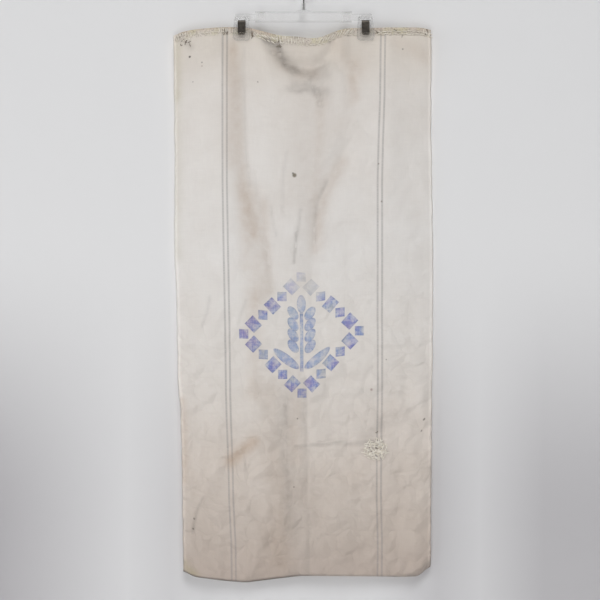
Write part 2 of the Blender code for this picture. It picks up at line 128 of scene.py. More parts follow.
# Height, then how far the front and the back stand off the middle plane
BELLY = np.array([
    (-110, 7, 7), (-165, 9, 9), (-300, 10, 10), (-600, 10.5, 10), (-900, 10, 9.5), (-1080, 8, 8),
    (-1150, 5, 5), (-1205, 0.4, 0.4),
]) * MM
CLOTH_WIDTH = 508 * MM
CLOTH_LENGTH = 1080 * MM
WALL = 1.2 * MM
LAYER_GAP = 0.4 * MM
PRESSED = LAYER_GAP / 2 + WALL
HEM_TURN = 0.5 * MM
HEM_DEPTH = 13 * MM
HEM_STEP = 2 * MM
BOTTOM_SEAM = 4 * MM


def smooth(low, high, at):
    """Soft step from 0 at low to 1 at high."""
    share = np.clip((at - low) / (high - low), 0.0, 1.0)
    return share * share * (3.0 - 2.0 * share)


def read(rows, column, at, soften=0.0):
    """A table's column at places on its first column, with its corners softened over a length."""
    rows = rows[np.argsort(rows[:, 0])]
    near = [np.interp(at + shift, rows[:, 0], rows[:, column]) for shift in (-soften, 0.0, soften)]
    return (near[0] + 2.0 * near[1] + near[2]) / 4.0


def place_on_cloth(across, drop):
    """Place across and height of points a share of the width across and a drop below the mouth."""
    x = SIDES[0, 1] + across * (SIDES[0, 2] - SIDES[0, 1])
    for _ in range(3):
        top = read(MOUTH, 1, x, 7 * MM)
        foot = read(BOTTOM, 1, x, 7 * MM)
        even = top + (foot - top) * drop / CLOTH_LENGTH
        z = (top - drop) + (even - (top - drop)) * smooth(30 * MM, 200 * MM, drop)
        left = read(SIDES, 1, z, 20 * MM)
        x = left + across * (read(SIDES, 2, z, 20 * MM) - left)
    return x, z


print("cloth", CLOTH_WIDTH / MM, "mm wide and", CLOTH_LENGTH / MM, "mm long")

# %% [markdown]
# ## Folds and creases
#
# The clips pull the cloth into long troughs, the slack between them swags, and folded storage has
# left sharp lines across and along. A simulation would give folds of its own, not these. So each
# fold is a line of a few places that the cloth dips or rises along, with its own height and width.
# A fold is round and wide. A crease is a sharp line, and its two flanks can differ in width.

# %% Folds and creases, in millimetres
Fold = namedtuple("Fold", "layer rise reach line")
FOLDS = [Fold(*row) for row in (
    ("front", 2.0, 26, ((-34, -146), (4, -158), (34, -148))),
    ("front", -3.0, 18, ((-66, -150), (-48, -172), (-7, -190), (28, -184), (52, -155))),
    ("front", 2.6, 60, ((-4, -240), (-12, -400), (-20, -560))),
    ("front", 3.0, 26, ((-150, -180), (-150, -400), (-142, -560))),
    ("front", 2.6, 30, ((160, -170), (164, -380), (150, -560))),
    ("front", -3.0, 34, ((-52, -840), (-48, -1000), (-54, -1120))),
    ("front", 1.4, 12, ((5, -850), (11, -960), (7, -1060), (10, -1150))),
    ("front", 2.0, 38, ((150, -760), (120, -900), (140, -1040))),
    ("front", 2.6, 30, ((-150, -900), (-178, -1010), (-150, -1100))),
    ("back", 3.6, 30, ((-30, -150), (30, -152))),
    ("back", -4.2, 22, ((-100, -190), (-96, -420), (-60, -640))),
    ("back", -4.2, 24, ((98, -190), (80, -430), (30, -650))),
    ("back", 3.6, 44, ((0, -260), (-8, -560))),
    ("back", -3.2, 40, ((70, -800), (60, -1100))),
    ("back", 3.0, 40, ((-90, -820), (-110, -1080))),
)]
# Height, width of the flank to the left and to the right of the line as it runs down, and painted shade
# along it
Crease = namedtuple("Crease", "rise left right dirt line")
CREASES = [Crease(*row) for row in (
    # Left trough, with its even dark flank on the left
    (-5.6, 38, 58, 0.0, ((-119, -140), (-115, -261), (-112, -352), (-100, -450), (-82, -513),
                               (-62, -592), (-56, -660))),
    (-0.9, 8, 5, 0.08, ((-117, -150), (-114, -261), (-112, -352), (-104, -420))),
    (-1.4, 12, 7, 0.05, ((-96, -400), (-84, -470), (-76, -520), (-66, -580))),
    # Right trough and the narrow crease in its lower end
    (-2.4, 30, 46, 0.0, ((101, -178), (99, -245), (91, -312), (74, -372))),
    (-4.2, 24, 44, 0.0, ((80, -352), (42, -431), (24, -474), (22, -521), (15, -559), (12, -620))),
    (-1.2, 8, 6, 0.16, ((46, -415), (27, -455), (22, -500), (22, -535))),
    # Ridge between the troughs, and the fine lines beside it
    (1.2, 30, 30, 0.0, ((3, -273), (-7, -352), (-11, -431), (-11, -509))),
    (-0.7, 6, 7, 0.08, ((-33, -356), (-39, -395), (-41, -431), (-41, -474))),
    (-1.2, 6, 6, 0.16, ((-6, -470), (-9, -500), (-13, -528), (-16, -545))),
    (-1.5, 6, 6, 0.30, ((-14, -516), (-16, -545), (-19, -574))),
    (-0.8, 6, 7, 0.1, ((-64, -466), (-60, -494), (-54, -521))),
    # Swag between the clips: the cloth dips under the hem and comes forward again in a broad band
    (-4.6, 24, 16, 0.0, ((-74, -132), (-60, -158), (-42, -176), (-14, -187), (14, -190),
                               (36, -180), (52, -160), (62, -136))),
    (-1.0, 9, 9, 0.26, ((-48, -143), (-46, -162), (-38, -182))),
    # Crumples under the swag
    (-1.2, 8, 7, 0.14, ((-33, -232), (-13, -240), (4, -236))),
    (-1.4, 8, 7, 0.18, ((3, -222), (28, -234), (36, -253), (30, -265))),
    (-1.2, 7, 7, 0.16, ((11, -218), (24, -245), (36, -269))),
    (-1.0, 12, 8, 0.05, ((62, -180), (78, -205), (84, -238))),
    # Straight across, from folded storage. Below the line is its left, as it runs to the right
    (1.2, 3, 12, 0.0, ((32, -704), (140, -702), (253, -703))),
    (1.0, 3, 8, 0.0, ((-247, -703), (-140, -704), (-37, -703))),
    (1.4, 4, 9, 0.0, ((-224, -813), (-175, -811), (-102, -819))),
    (1.2, 4, 8, 0.0, ((-236, -790), (-190, -786), (-130, -792))),
    (-1.0, 7, 7, 0.05, ((101, -823), (141, -827), (190, -831))),
    (3.0, 10, 3, 0.22, ((-14, -933), (38, -928), (82, -926), (150, -925))),
    (1.6, 8, 5, 0.0, ((-171, -976), (-141, -972), (-115, -965), (-68, -965))),
    (-1.2, 8, 6, 0.05, ((-100, -1000), (-60, -992), (-20, -1000))),
    # Down the lower half
    (-2.8, 22, 6, 0.12, ((-33, -850), (-35, -933), (-33, -980), (-25, -1028), (-30, -1100))),
    (-3.0, 18, 5, 0.16, ((3, -800), (5, -836), (5, -894), (9, -966), (4, -1022), (13, -1091),
                               (9, -1146), (11, -1191))),
    # Slanting
    (1.0, 12, 9, 0.0, ((66, -1035), (95, -1010), (129, -982))),
    (1.4, 10, 12, 0.0, ((156, -917), (176, -900), (198, -880))),
    (1.6, 12, 7, 0.0, ((-96, -1169), (-74, -1146), (-48, -1122))),
    (1.6, 12, 7, 0.0, ((82, -1150), (115, -1120), (151, -1100))),
    (-1.6, 12, 7, 0.0, ((-150, -935), (-120, -952), (-96, -985))),
    (-1.6, 14, 7, 0.0, ((190, -1000), (160, -1050), (150, -1110))),
    (-1.4, 10, 5, 0.0, ((-236, -1010), (-200, -1040), (-170, -1096))),
    (1.4, 6, 10, 0.0, ((30, -1060), (70, -1082), (130, -1078))),
)]
FOLD_FALL = 1.6
CORNER_TURN = 16 * MM
CORNER_REACH = 62 * MM
SIDE_BACK = 11 * MM  # how far the sides lie back towards the wall
SIDE_SHARE = 0.17  # over this share of the width
SIDE_STARTS = (0.13, 0.30)  # and between these depths below the hook, in metres
SIDE_ENDS = (0.62, 0.86)


def from_line(x, z, line):
    """Distance of points from a line of places, below zero on its left as it runs down."""
    nearest = np.full(x.shape, 9.0)
    for (ax, az), (bx, bz) in zip(line, line[1:]):
        run_x, run_z = (bx - ax) * MM, (bz - az) * MM
        to_x, to_z = x - ax * MM, z - az * MM
        share = np.clip((to_x * run_x + to_z * run_z) / (run_x**2 + run_z**2), 0.0, 1.0)
        away = np.hypot(to_x - share * run_x, to_z - share * run_z)
        side = np.where(run_x * to_z - run_z * to_x < 0.0, -1.0, 1.0)
        nearest = np.where(away < np.abs(nearest), away * side, nearest)
    return nearest


def folds_at(layer, x, z):
    total = np.zeros(x.shape)
    for fold in FOLDS:
        if fold.layer == layer:
            away = from_line(x, z, fold.line) / (fold.reach * MM)
            total += fold.rise * MM * np.exp(-away * away * FOLD_FALL)
    return total


def creases_at(x, z):
    """Height of the creases of the front, and the painted shade along them."""
    height = np.zeros(x.shape)
    dirt = np.zeros(x.shape)
    for crease in CREASES:
        away = from_line(x, z, crease.line) / MM
        away = np.where(away < 0.0, -away / crease.left, away / crease.right)
        height += crease.rise * MM * np.maximum(1.0 - away, 0.0) ** 1.25
        dirt = np.maximum(dirt, crease.dirt * np.exp(-away * away * 4.0))
    return height, dirt


print(len(FOLDS), "folds and", len(CREASES), "creases")

# %% [markdown]
# ## Worn cloth is never even
#
# Between its folds, old cotton is a little lumpy, at the size of a palm and at the size of a finger.
# A smooth random height over patches of a real size gives that. Storage has also pressed crisp facets
# into it, and each is the cloth that lies nearest to one of many scattered places. The seeds are
# fixed, so every run makes the same cloth.

# %% Unevenness and the clips' grip
GRIP_REACH = 46 * MM
# Patch and height of each size of rumple and of the facets, in millimetres
RUMPLES = ((64, 4.0), (30, 2.2), (15, 0.9))
FACET_PATCH = 50
FACET_HEIGHT = 5.2
FACET_MIDDLE = 0.35
CREASED_ABOVE = 0.35  # share of them in the upper half
RIM_ROUND = 0.5 * MM
SIDE_ROUND = 2.4 * MM


@functools.lru_cache
def random_heights(seed):
    return np.random.default_rng(seed).uniform(-1.0, 1.0, (512, 512))


def lumps(x, z, patch, seed):
    """Smooth random heights from -1 to 1 over patches of a size in metres."""
    heights = random_heights(seed)
    px, pz = x / patch + 200.0, z / patch + 400.0
    ix, iz = np.floor(px).astype(int), np.floor(pz).astype(int)
    fx, fz = smooth(0.0, 1.0, px - ix), smooth(0.0, 1.0, pz - iz)
    upper = heights[iz, ix] * (1 - fx) + heights[iz, ix + 1] * fx
    lower = heights[iz + 1, ix] * (1 - fx) + heights[iz + 1, ix + 1] * fx
    return upper * (1 - fz) + lower * fz


def rumple(x, z, patch, seed):
    """Random creases: ridges along the lines where a smooth random height crosses zero."""
    drift = 0.4 * patch * lumps(x, z, patch, seed + 1)
    return 1.0 - np.abs(lumps(x + drift, z - drift, patch, seed)) * 1.6


def facet_heights(x, z, patch, seed):
    """Crisp facets: 0 along the lines halfway between scattered places, and rising away from them."""
    px, pz = x / patch + 200.0, z / patch + 400.0
    ix, iz = np.floor(px).astype(int), np.floor(pz).astype(int)
    nearest = np.full(x.shape, 9.0)
    second = np.full(x.shape, 9.0)
    for i in (-1, 0, 1):
        for j in (-1, 0, 1):
            place_x = ix + i + 0.5 + 0.45 * random_heights(seed)[iz + j, ix + i]
            place_z = iz + j + 0.5 + 0.45 * random_heights(seed + 1)[iz + j, ix + i]
            away = np.hypot(px - place_x, pz - place_z)
            second = np.minimum(second, np.maximum(nearest, away))
            nearest = np.minimum(nearest, away)
    return second - nearest


def freedom(x, z):
    """0 where the jaws press the layers together, 1 where the cloth hangs free of them."""
    free = np.ones(x.shape)
    for side in (-1, 1):
        beside = np.maximum(np.abs(x - side * CLIP_X) - JAW_HALF - 2 * MM, 0.0)
        below = np.maximum(JAW_FOOT - 2 * MM - z, 0.0)
        free *= smooth(0.0, GRIP_REACH, np.hypot(beside * 1.3, below * 0.62))
    return free


def unevenness(layer, x, z):
    """Lumps, rumples and facets. Long folded storage has creased the lower half more than the upper."""
    seed = 3 if layer == "front" else 4
    uneven = lumps(x, z, 34 * MM, seed) * 0.4 + lumps(x, z, 11 * MM, seed + 2) * 0.12
    creased = CREASED_ABOVE + (1.0 - CREASED_ABOVE) * smooth(0.55, 0.85, -z)
    for patch, height in RUMPLES:
        uneven += creased * height * rumple(x, z, patch * MM, seed + patch)
    facets = facet_heights(x, z, FACET_PATCH * MM, seed + 40) - FACET_MIDDLE
    return (uneven + creased * FACET_HEIGHT * facets) * MM


def surface_of_sack(layer, across, drop, inset=0.0):
    """Points of a layer's outer face, or of its inner face when inset by the wall."""
    x, z = place_on_cloth(across, drop)
    free = freedom(x, z)
    belly = read(BELLY, 1 if layer == "front" else 2, z)
    lens = np.sin(math.pi * np.clip(across, 0.0, 1.0)) ** 0.75
    fade = smooth(0.0, 0.16, across) * smooth(0.0, 0.16, 1.0 - across)
    above_seam = smooth(BOTTOM_SEAM, 60 * MM, z - read(BOTTOM, 1, x))
    height = folds_at(layer, x, z) * fade
    if layer == "front":
        height += creases_at(x, z)[0] * np.minimum(fade * 3.0, 1.0)
    depth = (belly * lens + height * above_seam) * free
    near_side = smooth(0.0, 0.04, across) * smooth(0.0, 0.04, 1.0 - across)
    depth += unevenness(layer, x, z) * free * near_side
    hem = HEM_TURN * (1.0 - smooth(HEM_DEPTH, HEM_DEPTH + HEM_STEP, drop))
    hem *= 1.0 + 0.5 * lumps(x, z, 7 * MM, 9) * free
    # The mouth's rim is rounded, and the layers close at the side folds and at the bottom seam
    rim = RIM_ROUND * (1.0 - smooth(0.0, WALL, drop))
    stand = PRESSED + np.maximum(depth, 0.0) + hem - rim - inset
    fold_share = np.minimum(across, 1.0 - across) / (SIDE_ROUND / CLOTH_WIDTH)
    stand *= np.sqrt(np.clip(1.0 - (1.0 - np.minimum(fold_share, 1.0)) ** 2, 0.0, 1.0))
    end = CLOTH_LENGTH - (BOTTOM_SEAM if inset else 0.0)
    stand *= np.sqrt(np.clip((end - drop) / (3 * MM), 0.0, 1.0))
    # Both layers turn back together at the lower right corner
    corner = np.hypot(x - SIDES[-1, 2], z - BOTTOM[-2, 1])
    curl = CORNER_TURN * np.maximum(1.0 - corner / CORNER_REACH, 0.0) ** 2
    # The sides of the middle part lie back against what the sack hangs on
    beside = 1.0 - smooth(0.0, SIDE_SHARE, np.minimum(across, 1.0 - across))
    curl += SIDE_BACK * beside * smooth(*SIDE_STARTS, -z) * (1.0 - smooth(*SIDE_ENDS, -z))
    x = x + lumps(0 * z, z, 26 * MM, 12) * 0.8 * MM * (1.0 - near_side)
    x = x + inset * 1.25 * (1.0 - 2.0 * across) * (1.0 - near_side)
    return x, curl + stand * (-1.0 if layer == "front" else 1.0), z


print("the cloth stands off", round(PRESSED / MM, 2), "mm between the jaws")

# %% [markdown]
# ## Soil, stains and painted shade
#
# Feed dust, damp and hands have left the sack darker at its foot, stained in places and grimed round
# its mouth. Shade in its troughs, creases and swag, under its hem and beside its folds is painted on
# as well. Both follow places on the cloth, not any pattern. So they are brushed on as strokes, each a
# line with a reach, and kept at the cloth's points: red holds brown soil and some warm painted shade,
# green holds greenish damp stains, blue holds painted grey shade and a few grey marks, and the
# material turns these into colour.

# %% Strokes of soil and painted shade, in millimetres
Stroke = namedtuple("Stroke", "kind amount reach line")
BROWN, GREENISH, SHADE_AND_GREY_MARKS = 0, 1, 2
STROKES = [Stroke(*row) for row in (
    # Grime of the mouth, painted shade under the hem and warm painted shade beside the right clip
    (BROWN, 0.14, 22, ((66, -144), (84, -172), (108, -190))),
    (BROWN, 0.50, 5, ((-250, -120), (-200, -112), (-150, -108), (-108, -112))),
    (BROWN, 0.34, 6, ((-100, -114), (-60, -127))),
    (BROWN, 0.30, 6, ((70, -122), (100, -112), (170, -112), (246, -114))),
    (SHADE_AND_GREY_MARKS, 0.16, 4, ((-80, -132), (-40, -144), (10, -147), (50, -138))),
    (SHADE_AND_GREY_MARKS, 0.24, 3.5, ((128, -123), (180, -121), (246, -122))),
    (SHADE_AND_GREY_MARKS, 0.20, 6, ((-246, -134), (-232, -140), (-222, -150))),
    (SHADE_AND_GREY_MARKS, 0.26, 4, ((-98, -124), (-70, -138), (-50, -150))),
    # Painted shade, partly brown, on the left trough's flank, between the troughs, in the swag and at the
    # dip
    (BROWN, 0.20, 13, ((-136, -150), (-130, -261), (-127, -352), (-114, -450), (-98, -520))),
    (BROWN, 0.15, 22, ((-104, -440), (-98, -500), (-92, -560), (-84, -650))),
    (BROWN, 0.12, 9, ((-78, -450), (-73, -540), (-66, -630))),
    (BROWN, 0.13, 12, ((-146, -150), (-146, -300), (-144, -380))),
    (BROWN, 0.10, 11, ((-128, -420), (-119, -500), (-116, -580))),
    (BROWN, 0.09, 13, ((34, -250), (30, -360), (20, -450))),
    (BROWN, 0.12, 14, ((188, -142), (214, -150), (238, -172))),
    (BROWN, 0.05, 30, ((-60, -470), (-40, -560), (-20, -620))),
    (BROWN, 0.05, 26, ((14, -470), (6, -600))),
    (BROWN, 0.05, 40, ((60, -290), (100, -330), (120, -390))),
    (BROWN, 0.05, 30, ((170, -860), (220, -880))),
    (BROWN, 0.10, 13, ((94, -190), (92, -260))),
    (BROWN, 0.14, 10, ((96, -212), (104, -250))),
    (BROWN, 0.18, 14, ((74, -378), (46, -430), (30, -480), (24, -545))),
    (BROWN, 0.07, 52, ((10, -196), (6, -300), (0, -440))),
    (SHADE_AND_GREY_MARKS, 0.26, 11, ((-68, -136), (-52, -164), (-24, -194), (14, -206), (44, -188))),
    (BROWN, 0.16, 11, ((-56, -160), (-40, -186), (-12, -203), (20, -206))),
    (SHADE_AND_GREY_MARKS, 0.20, 11, ((-17, -228), (10, -234), (42, -240))),
    (SHADE_AND_GREY_MARKS, 0.18, 9, ((-50, -138), (-38, -165), (-14, -196))),
    (SHADE_AND_GREY_MARKS, 0.14, 8, ((-76, -142), (-50, -176), (-20, -204))),
    (SHADE_AND_GREY_MARKS, 0.40, 3, ((-20, -131), (16, -130), (40, -127), (60, -123))),
    (SHADE_AND_GREY_MARKS, 0.12, 9, ((20, -212), (36, -214), (48, -206))),
    (SHADE_AND_GREY_MARKS, 0.03, 70, ((0, -230), (0, -1180))),
    # Lower half: painted shade by its folds, down the middle and in the turned corner; stains and marks
    (BROWN, 0.42, 13, ((-143, -963), (-121, -943), (-99, -925))),
    (SHADE_AND_GREY_MARKS, 0.07, 14, ((130, -905), (180, -885), (200, -870))),
    (BROWN, 0.14, 16, ((-14, -830), (-20, -900), (-16, -960))),
    (BROWN, 0.12, 24, ((-66, -820), (-60, -930), (-50, -1030), (-44, -1160))),
    (SHADE_AND_GREY_MARKS, 0.09, 24, ((-54, -830), (-46, -930), (-36, -1030), (-32, -1170))),
    (SHADE_AND_GREY_MARKS, 0.08, 12, ((-30, -790), (-28, -900), (-22, -1000), (-18, -1110))),
    (BROWN, 0.20, 9, ((-240, -844), (-236, -900), (-236, -1002))),
    (BROWN, 0.14, 16, ((-100, -640), (-96, -740), (-100, -830))),
    (GREENISH, 0.20, 9, ((-249, -150), (-248, -200), (-249, -245))),
    (GREENISH, 0.14, 12, ((-253, -250), (-252, -420), (-252, -560))),
    (GREENISH, 0.30, 9, ((-236, -1166), (-226, -1180), (-214, -1190))),
    (SHADE_AND_GREY_MARKS, 0.35, 7, ((251, -1164), (232, -1184), (206, -1194))),
    (SHADE_AND_GREY_MARKS, 0.30, 4, ((249, -976), (250, -1016))),
    (SHADE_AND_GREY_MARKS, 0.26, 2.5, ((-198, -1035), (-208, -1057), (-214, -1083), (-218, -1106))),
    (SHADE_AND_GREY_MARKS, 0.14, 3, ((-184, -641), (-190, -672), (-200, -699))),
    (SHADE_AND_GREY_MARKS, 0.12, 3, ((-113, -647), (-122, -672), (-129, -697))),
    # Painted shade under the darn
    (SHADE_AND_GREY_MARKS, 0.16, 16, ((130, -932), (152, -950))),
)]


def soil_and_shade_at(layer, x, z):
    """Red, green and blue shares of brown soil and warm painted shade, greenish stain, and painted grey
    shade with grey marks.
    """
    marks = np.zeros((x.size, 3))
    for stroke in STROKES:
        away = from_line(x, z, stroke.line) / (stroke.reach * MM)
        marks[:, stroke.kind] += stroke.amount * np.exp(-away * away)
    marks[:, SHADE_AND_GREY_MARKS] += creases_at(x, z)[1]
    if layer == "back":
        # The back has the same soil and painted shade at its edges and foot, and none of the front's own
        # marks
        marks *= 0.6 * smooth(200 * MM, 250 * MM, np.abs(x))[:, None]
    marks[:, BROWN] += 0.06 * (0.5 + 0.5 * lumps(x, z, 60 * MM, 21)) * smooth(0.4, 1.2, -z)
    return marks


print(len(STROKES), "strokes of soil")

# %% [markdown]
# ## The woven stripes run with the thread
#
# Two pairs of coloured warp threads run the length of the tube. Where the cloth is pulled out of
# true, they lean with it. If the cloth's own coordinates put each pair at one constant place across
# the cloth, the material can draw straight lines and they still lean as the real ones do.

# %% Cloth coordinates
# Height, middle of the left pair, middle of the right pair, in millimetres as hung
STRIPES = np.array([
    (-112, -155, 157), (-175, -155, 155.4), (-253, -155, 154.4), (-332, -155, 151.5),
    (-411, -154.8, 149.5), (-529, -153, 149.5), (-687, -150, 149.5), (-844, -148, 149.5),
    (-963, -144, 147.6), (-1041, -142, 147.6), (-1120, -138, 149.5), (-1204, -137, 149.5),
]) * MM
STRIPE_LEFT = 101 * MM
STRIPE_RIGHT = 407 * MM


def thread_across(x, z):
    """Distance of a point from the left side fold, measured in the unpulled cloth."""
    marks = [read(SIDES, 1, z), read(STRIPES, 1, z), read(STRIPES, 2, z), read(SIDES, 2, z)]
    places = (0.0, STRIPE_LEFT, STRIPE_RIGHT, CLOTH_WIDTH)
    across = np.zeros(x.shape)
    for i in range(3):
        share = np.clip((x - marks[i]) / (marks[i + 1] - marks[i]), 0.0, 1.0)
        across += share * (places[i + 1] - places[i])
    return across


print("stripes at", STRIPE_LEFT / MM, "and", STRIPE_RIGHT / MM, "mm across the cloth")

# %% [markdown]
# ## The sack as one closed tube
#
# The cloth could be a single surface with a Solidify modifier, but then the inside, which hardly
# shows, would cost as many faces as the outside. Instead one grid is wrapped round as the outer skin
# and a much coarser grid as the inner skin, and bridging their mouths closes the wall. Each grid
# starts flat: its width becomes the way round the sack and its height the way down.

# %% Wrap the grids round the sack
OUTER_COLUMNS = 260
INNER_COLUMNS = 80
HEM_DROPS = (0, 0.6, 1.4, 4, 8, 11.5, 13, 14, 15, 16.5, 19)  # in millimetres
OUTER_ROWS = 262
INNER_ROWS = 84


def rows_down(count):
    """Drops below the mouth, close together over the hem."""
    start = HEM_DROPS[-1] * MM
    rest = [start + (CLOTH_LENGTH - start) * (i + 1) / count for i in range(count)]
    return np.array([drop * MM for drop in HEM_DROPS] + rest)


def wrap_cloth(mesh, columns, drops, inset):
    """Adds one skin of the sack to a bmesh and returns its points."""
    made = bmesh.ops.create_grid(mesh, x_segments=columns, y_segments=len(drops) - 1, size=1.0)
    points = made["verts"]
    flat = np.array([point.co[:2] for point in points])
    round_sack = (flat[:, 0] + 1.0) / 2.0
    row = np.rint((1.0 - flat[:, 1]) / 2.0 * (len(drops) - 1)).astype(int)
    drop = drops[row]
    front = round_sack <= 0.5
    across = np.where(front, round_sack * 2.0, 2.0 - round_sack * 2.0)
    place = np.zeros((len(points), 3))
    soil_and_shade = np.zeros((len(points), 3))
    thread = np.zeros(len(points))
    for layer, own in (("front", front), ("back", ~front)):
        x, y, z = surface_of_sack(layer, across[own], drop[own], inset)
        place[own] = np.stack((x, y, z), axis=1)
        soil_and_shade[own] = soil_and_shade_at(layer, x, z)
        here = thread_across(x, z)
        thread[own] = here if layer == "front" else 2.0 * CLOTH_WIDTH - here
    # The last column is the first one again, one full width further on
    thread[round_sack > 0.9999] = 2.0 * CLOTH_WIDTH
    soil_and_shade_layer = mesh.verts.layers.float_color["soil_and_shade"]
    for i, point in enumerate(points):
        point.co = place[i]
        point[soil_and_shade_layer] = (*soil_and_shade[i], 1.0)
    cloth_layer = mesh.loops.layers.uv["cloth"]
    where = {point: (thread[i], drop[i]) for i, point in enumerate(points)}
    for face in {face for point in points for face in point.link_faces}:
        for corner in face.loops:
            corner[cloth_layer].uv = where[corner.vert]
    bmesh.ops.remove_doubles(mesh, verts=points, dist=0.01 * MM)


def build_sack_cloth():
    mesh = bmesh.new()
    mesh.verts.layers.float_color.new("soil_and_shade")
    cloth_layer = mesh.loops.layers.uv.new("cloth")
    wrap_cloth(mesh, OUTER_COLUMNS, rows_down(OUTER_ROWS), 0.0)
    # The inner skin ends above the bottom seam
    inner_rows = rows_down(INNER_ROWS)
    hem, below = len(HEM_DROPS) - 1, len(HEM_DROPS)
    share = (inner_rows[below:] - inner_rows[hem]) / (CLOTH_LENGTH - inner_rows[hem])
    inner_rows[below:] -= share * BOTTOM_SEAM
    wrap_cloth(mesh, INNER_COLUMNS, inner_rows, WALL)
    mouths = [edge for edge in mesh.edges if edge.is_boundary]
    rim = bmesh.ops.bridge_loops(mesh, edges=mouths)["faces"]
    for face in rim:
        for corner in face.loops:
            across = thread_across(np.array([corner.vert.co.x]), np.array([corner.vert.co.z]))[0]
            corner[cloth_layer].uv = (across, 0.0)
    bmesh.ops.recalc_face_normals(mesh, faces=mesh.faces[:])
    return mesh


def finished(name, mesh, material):
    """A finished bmesh as an object."""
    data = bpy.data.meshes.new(name)
    mesh.to_mesh(data)
    mesh.free()
    data.materials.append(material)
    return in_scene(name, data)


def new_piece(name, mesh, material, sharp_above=180):
    """A piece that rides on the part, smooth but for edges above an angle."""
    piece = finished(name, mesh, material)
    piece.data.shade_smooth()
    piece.data.set_sharp_from_angle(angle=math.radians(sharp_above))
    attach(piece, "root")
    return piece


sack_mesh = build_sack_cloth()
open_edges = sum(edge.is_boundary for edge in sack_mesh.edges)
print("sack skin", len(sack_mesh.faces), "faces,", open_edges, "open edges")

# %% [markdown]
# ## Helpers for materials
#
# Colours are written as the hex values a painter would read off a screen, and one function turns
# them into the linear values that Blender's light works with. Another adds any node, sets it and
# links it. Short ones on top of it add the kinds that come often, so each pattern below reads as a
# list of steps.

# %% Colour and node helpers
def colour(hex_value):
    """Linear colour of an sRGB hex value."""
    parts = [int(hex_value[i : i + 2], 16) / 255 for i in (1, 3, 5)]
    return tuple(c / 12.92 if c <= 0.04045 else ((c + 0.055) / 1.055) ** 2.4 for c in parts) + (1.0,)


def add(tree, kind, settings=None, sockets=None):
    """Adds a node. Sockets are given a value, or a node or socket to link from."""
    node = tree.nodes.new("ShaderNode" + kind)
    for name, value in (settings or {}).items():
        setattr(node, name, value)
    for name, value in (sockets or {}).items():
        if isinstance(value, bpy.types.Node):
            value = value.outputs[0]
        if isinstance(value, bpy.types.NodeSocket):
            tree.links.new(value, node.inputs[name])
        else:
            node.inputs[name].default_value = value
    return node


def calc(tree, operation, *values):
    """A Math node on one to three values, nodes or sockets."""
    return add(tree, "Math", {"operation": operation}, dict(enumerate(values)))


def apart(tree, one, other):
    """How far apart two values are."""
    return calc(tree, "ABSOLUTE", calc(tree, "SUBTRACT", one, other))


def scaled(tree, vector, by):
    return add(tree, "VectorMath", {"operation": "SCALE"}, {0: vector, "Scale": by})


def distance(tree, one, other):
    """Distance between two places."""
    return add(tree, "VectorMath", {"operation": "DISTANCE"}, {0: one, 1: other}).outputs["Value"]


def remap(tree, value, low, high, at_low, at_high, eased=False):
    """A value from low to high as a value from at_low to at_high, in a line or eased at its ends."""
    settings = {"interpolation_type": "SMOOTHSTEP" if eased else "LINEAR"}
    return add(tree, "MapRange", settings, dict(enumerate((value, low, high, at_low, at_high))))


def over(tree, share, under, top, blend="MIX"):
    """A share of one colour over another. Each is a hex value, a node or a socket."""
    under, top = (colour(paint) if isinstance(paint, str) else paint for paint in (under, top))
    return add(tree, "MixRGB", {"blend_type": blend}, {0: share, 1: under, 2: top})


def tones(tree, value, stops):
    """A colour ramp over a value. Each stop is a position and a hex value."""
    ramp = add(tree, "ValToRGB", None, {0: value})
    for i, (position, hex_value) in enumerate(stops):
        stop = ramp.color_ramp.elements[i] if i < 2 else ramp.color_ramp.elements.new(position)
        stop.position = position
        stop.color = colour(hex_value)
    return ramp


def noise(tree, place, scale, detail, roughness=0.5):
    sockets = {"Vector": place, "Scale": scale, "Detail": detail, "Roughness": roughness}
    return add(tree, "TexNoise", None, sockets)


def bump(tree, height, distance, strength, under=None):
    """Relief from a height, over what lies under it if anything does."""
    sockets = {"Height": height, "Distance": distance, "Strength": strength}
    if under:
        sockets["Normal"] = under
    return add(tree, "Bump", None, sockets)


def plug(tree, shader, **nodes):
    """Links nodes to the shader's sockets."""
    for socket, node in nodes.items():
        tree.links.new(node.outputs[0], shader.inputs[socket.replace("_", " ")])


def new_material(name, **sockets):
    """A material with its Principled shader set, and its node tree."""
    material = bpy.data.materials.new(name)
    material.use_nodes = True
    tree = material.node_tree
    shader = tree.nodes["Principled BSDF"]
    for socket, value in sockets.items():
        shader.inputs[socket.replace("_", " ")].default_value = value
    return material, tree, shader


print("mid grey is", round(colour("#808080")[0], 3), "in linear light")

# %% [markdown]
# ## The printed mark
#
# The sack's front carries a stencilled mark in washed-out blue. Here it is a plain farm motif: a
# head of grain in a diamond of blocks and lozenges. Its shapes are simple enough to be worked out
# from the cloth's coordinates. An oval is a length after scaling, a diamond is the sum of two
# distances, and a row of blocks is one block repeated by a Ping-Pong node. A mask made this way has
# crisp edges at any zoom and needs no picture.

# %% Mark of grain in a diamond, in millimetres on the cloth
MARK_ACROSS = 250
MARK_DROP = 596
DIAMOND_SIDE = 82  # middle of the mark to the middle of a side
DIAMOND_BAND = 13  # half the height of its blocks
BLOCK_PITCH = DIAMOND_SIDE / 3
BLOCK_HALF = 11.5
LOZENGE_HALF = 13
Grain = namedtuple("Grain", "across up lean half_width half_length")
GRAINS = tuple(Grain(17, up, 34, 8.6, 15.5) for up in (-22, 0, 22, 44)) + (Grain(0, 62, 0, 9, 18),)
LEAF = Grain(31, -47, 52, 9, 32)
STEM_HALF = 3.4
STEM_FOOT, STEM_TOP = -72, 44


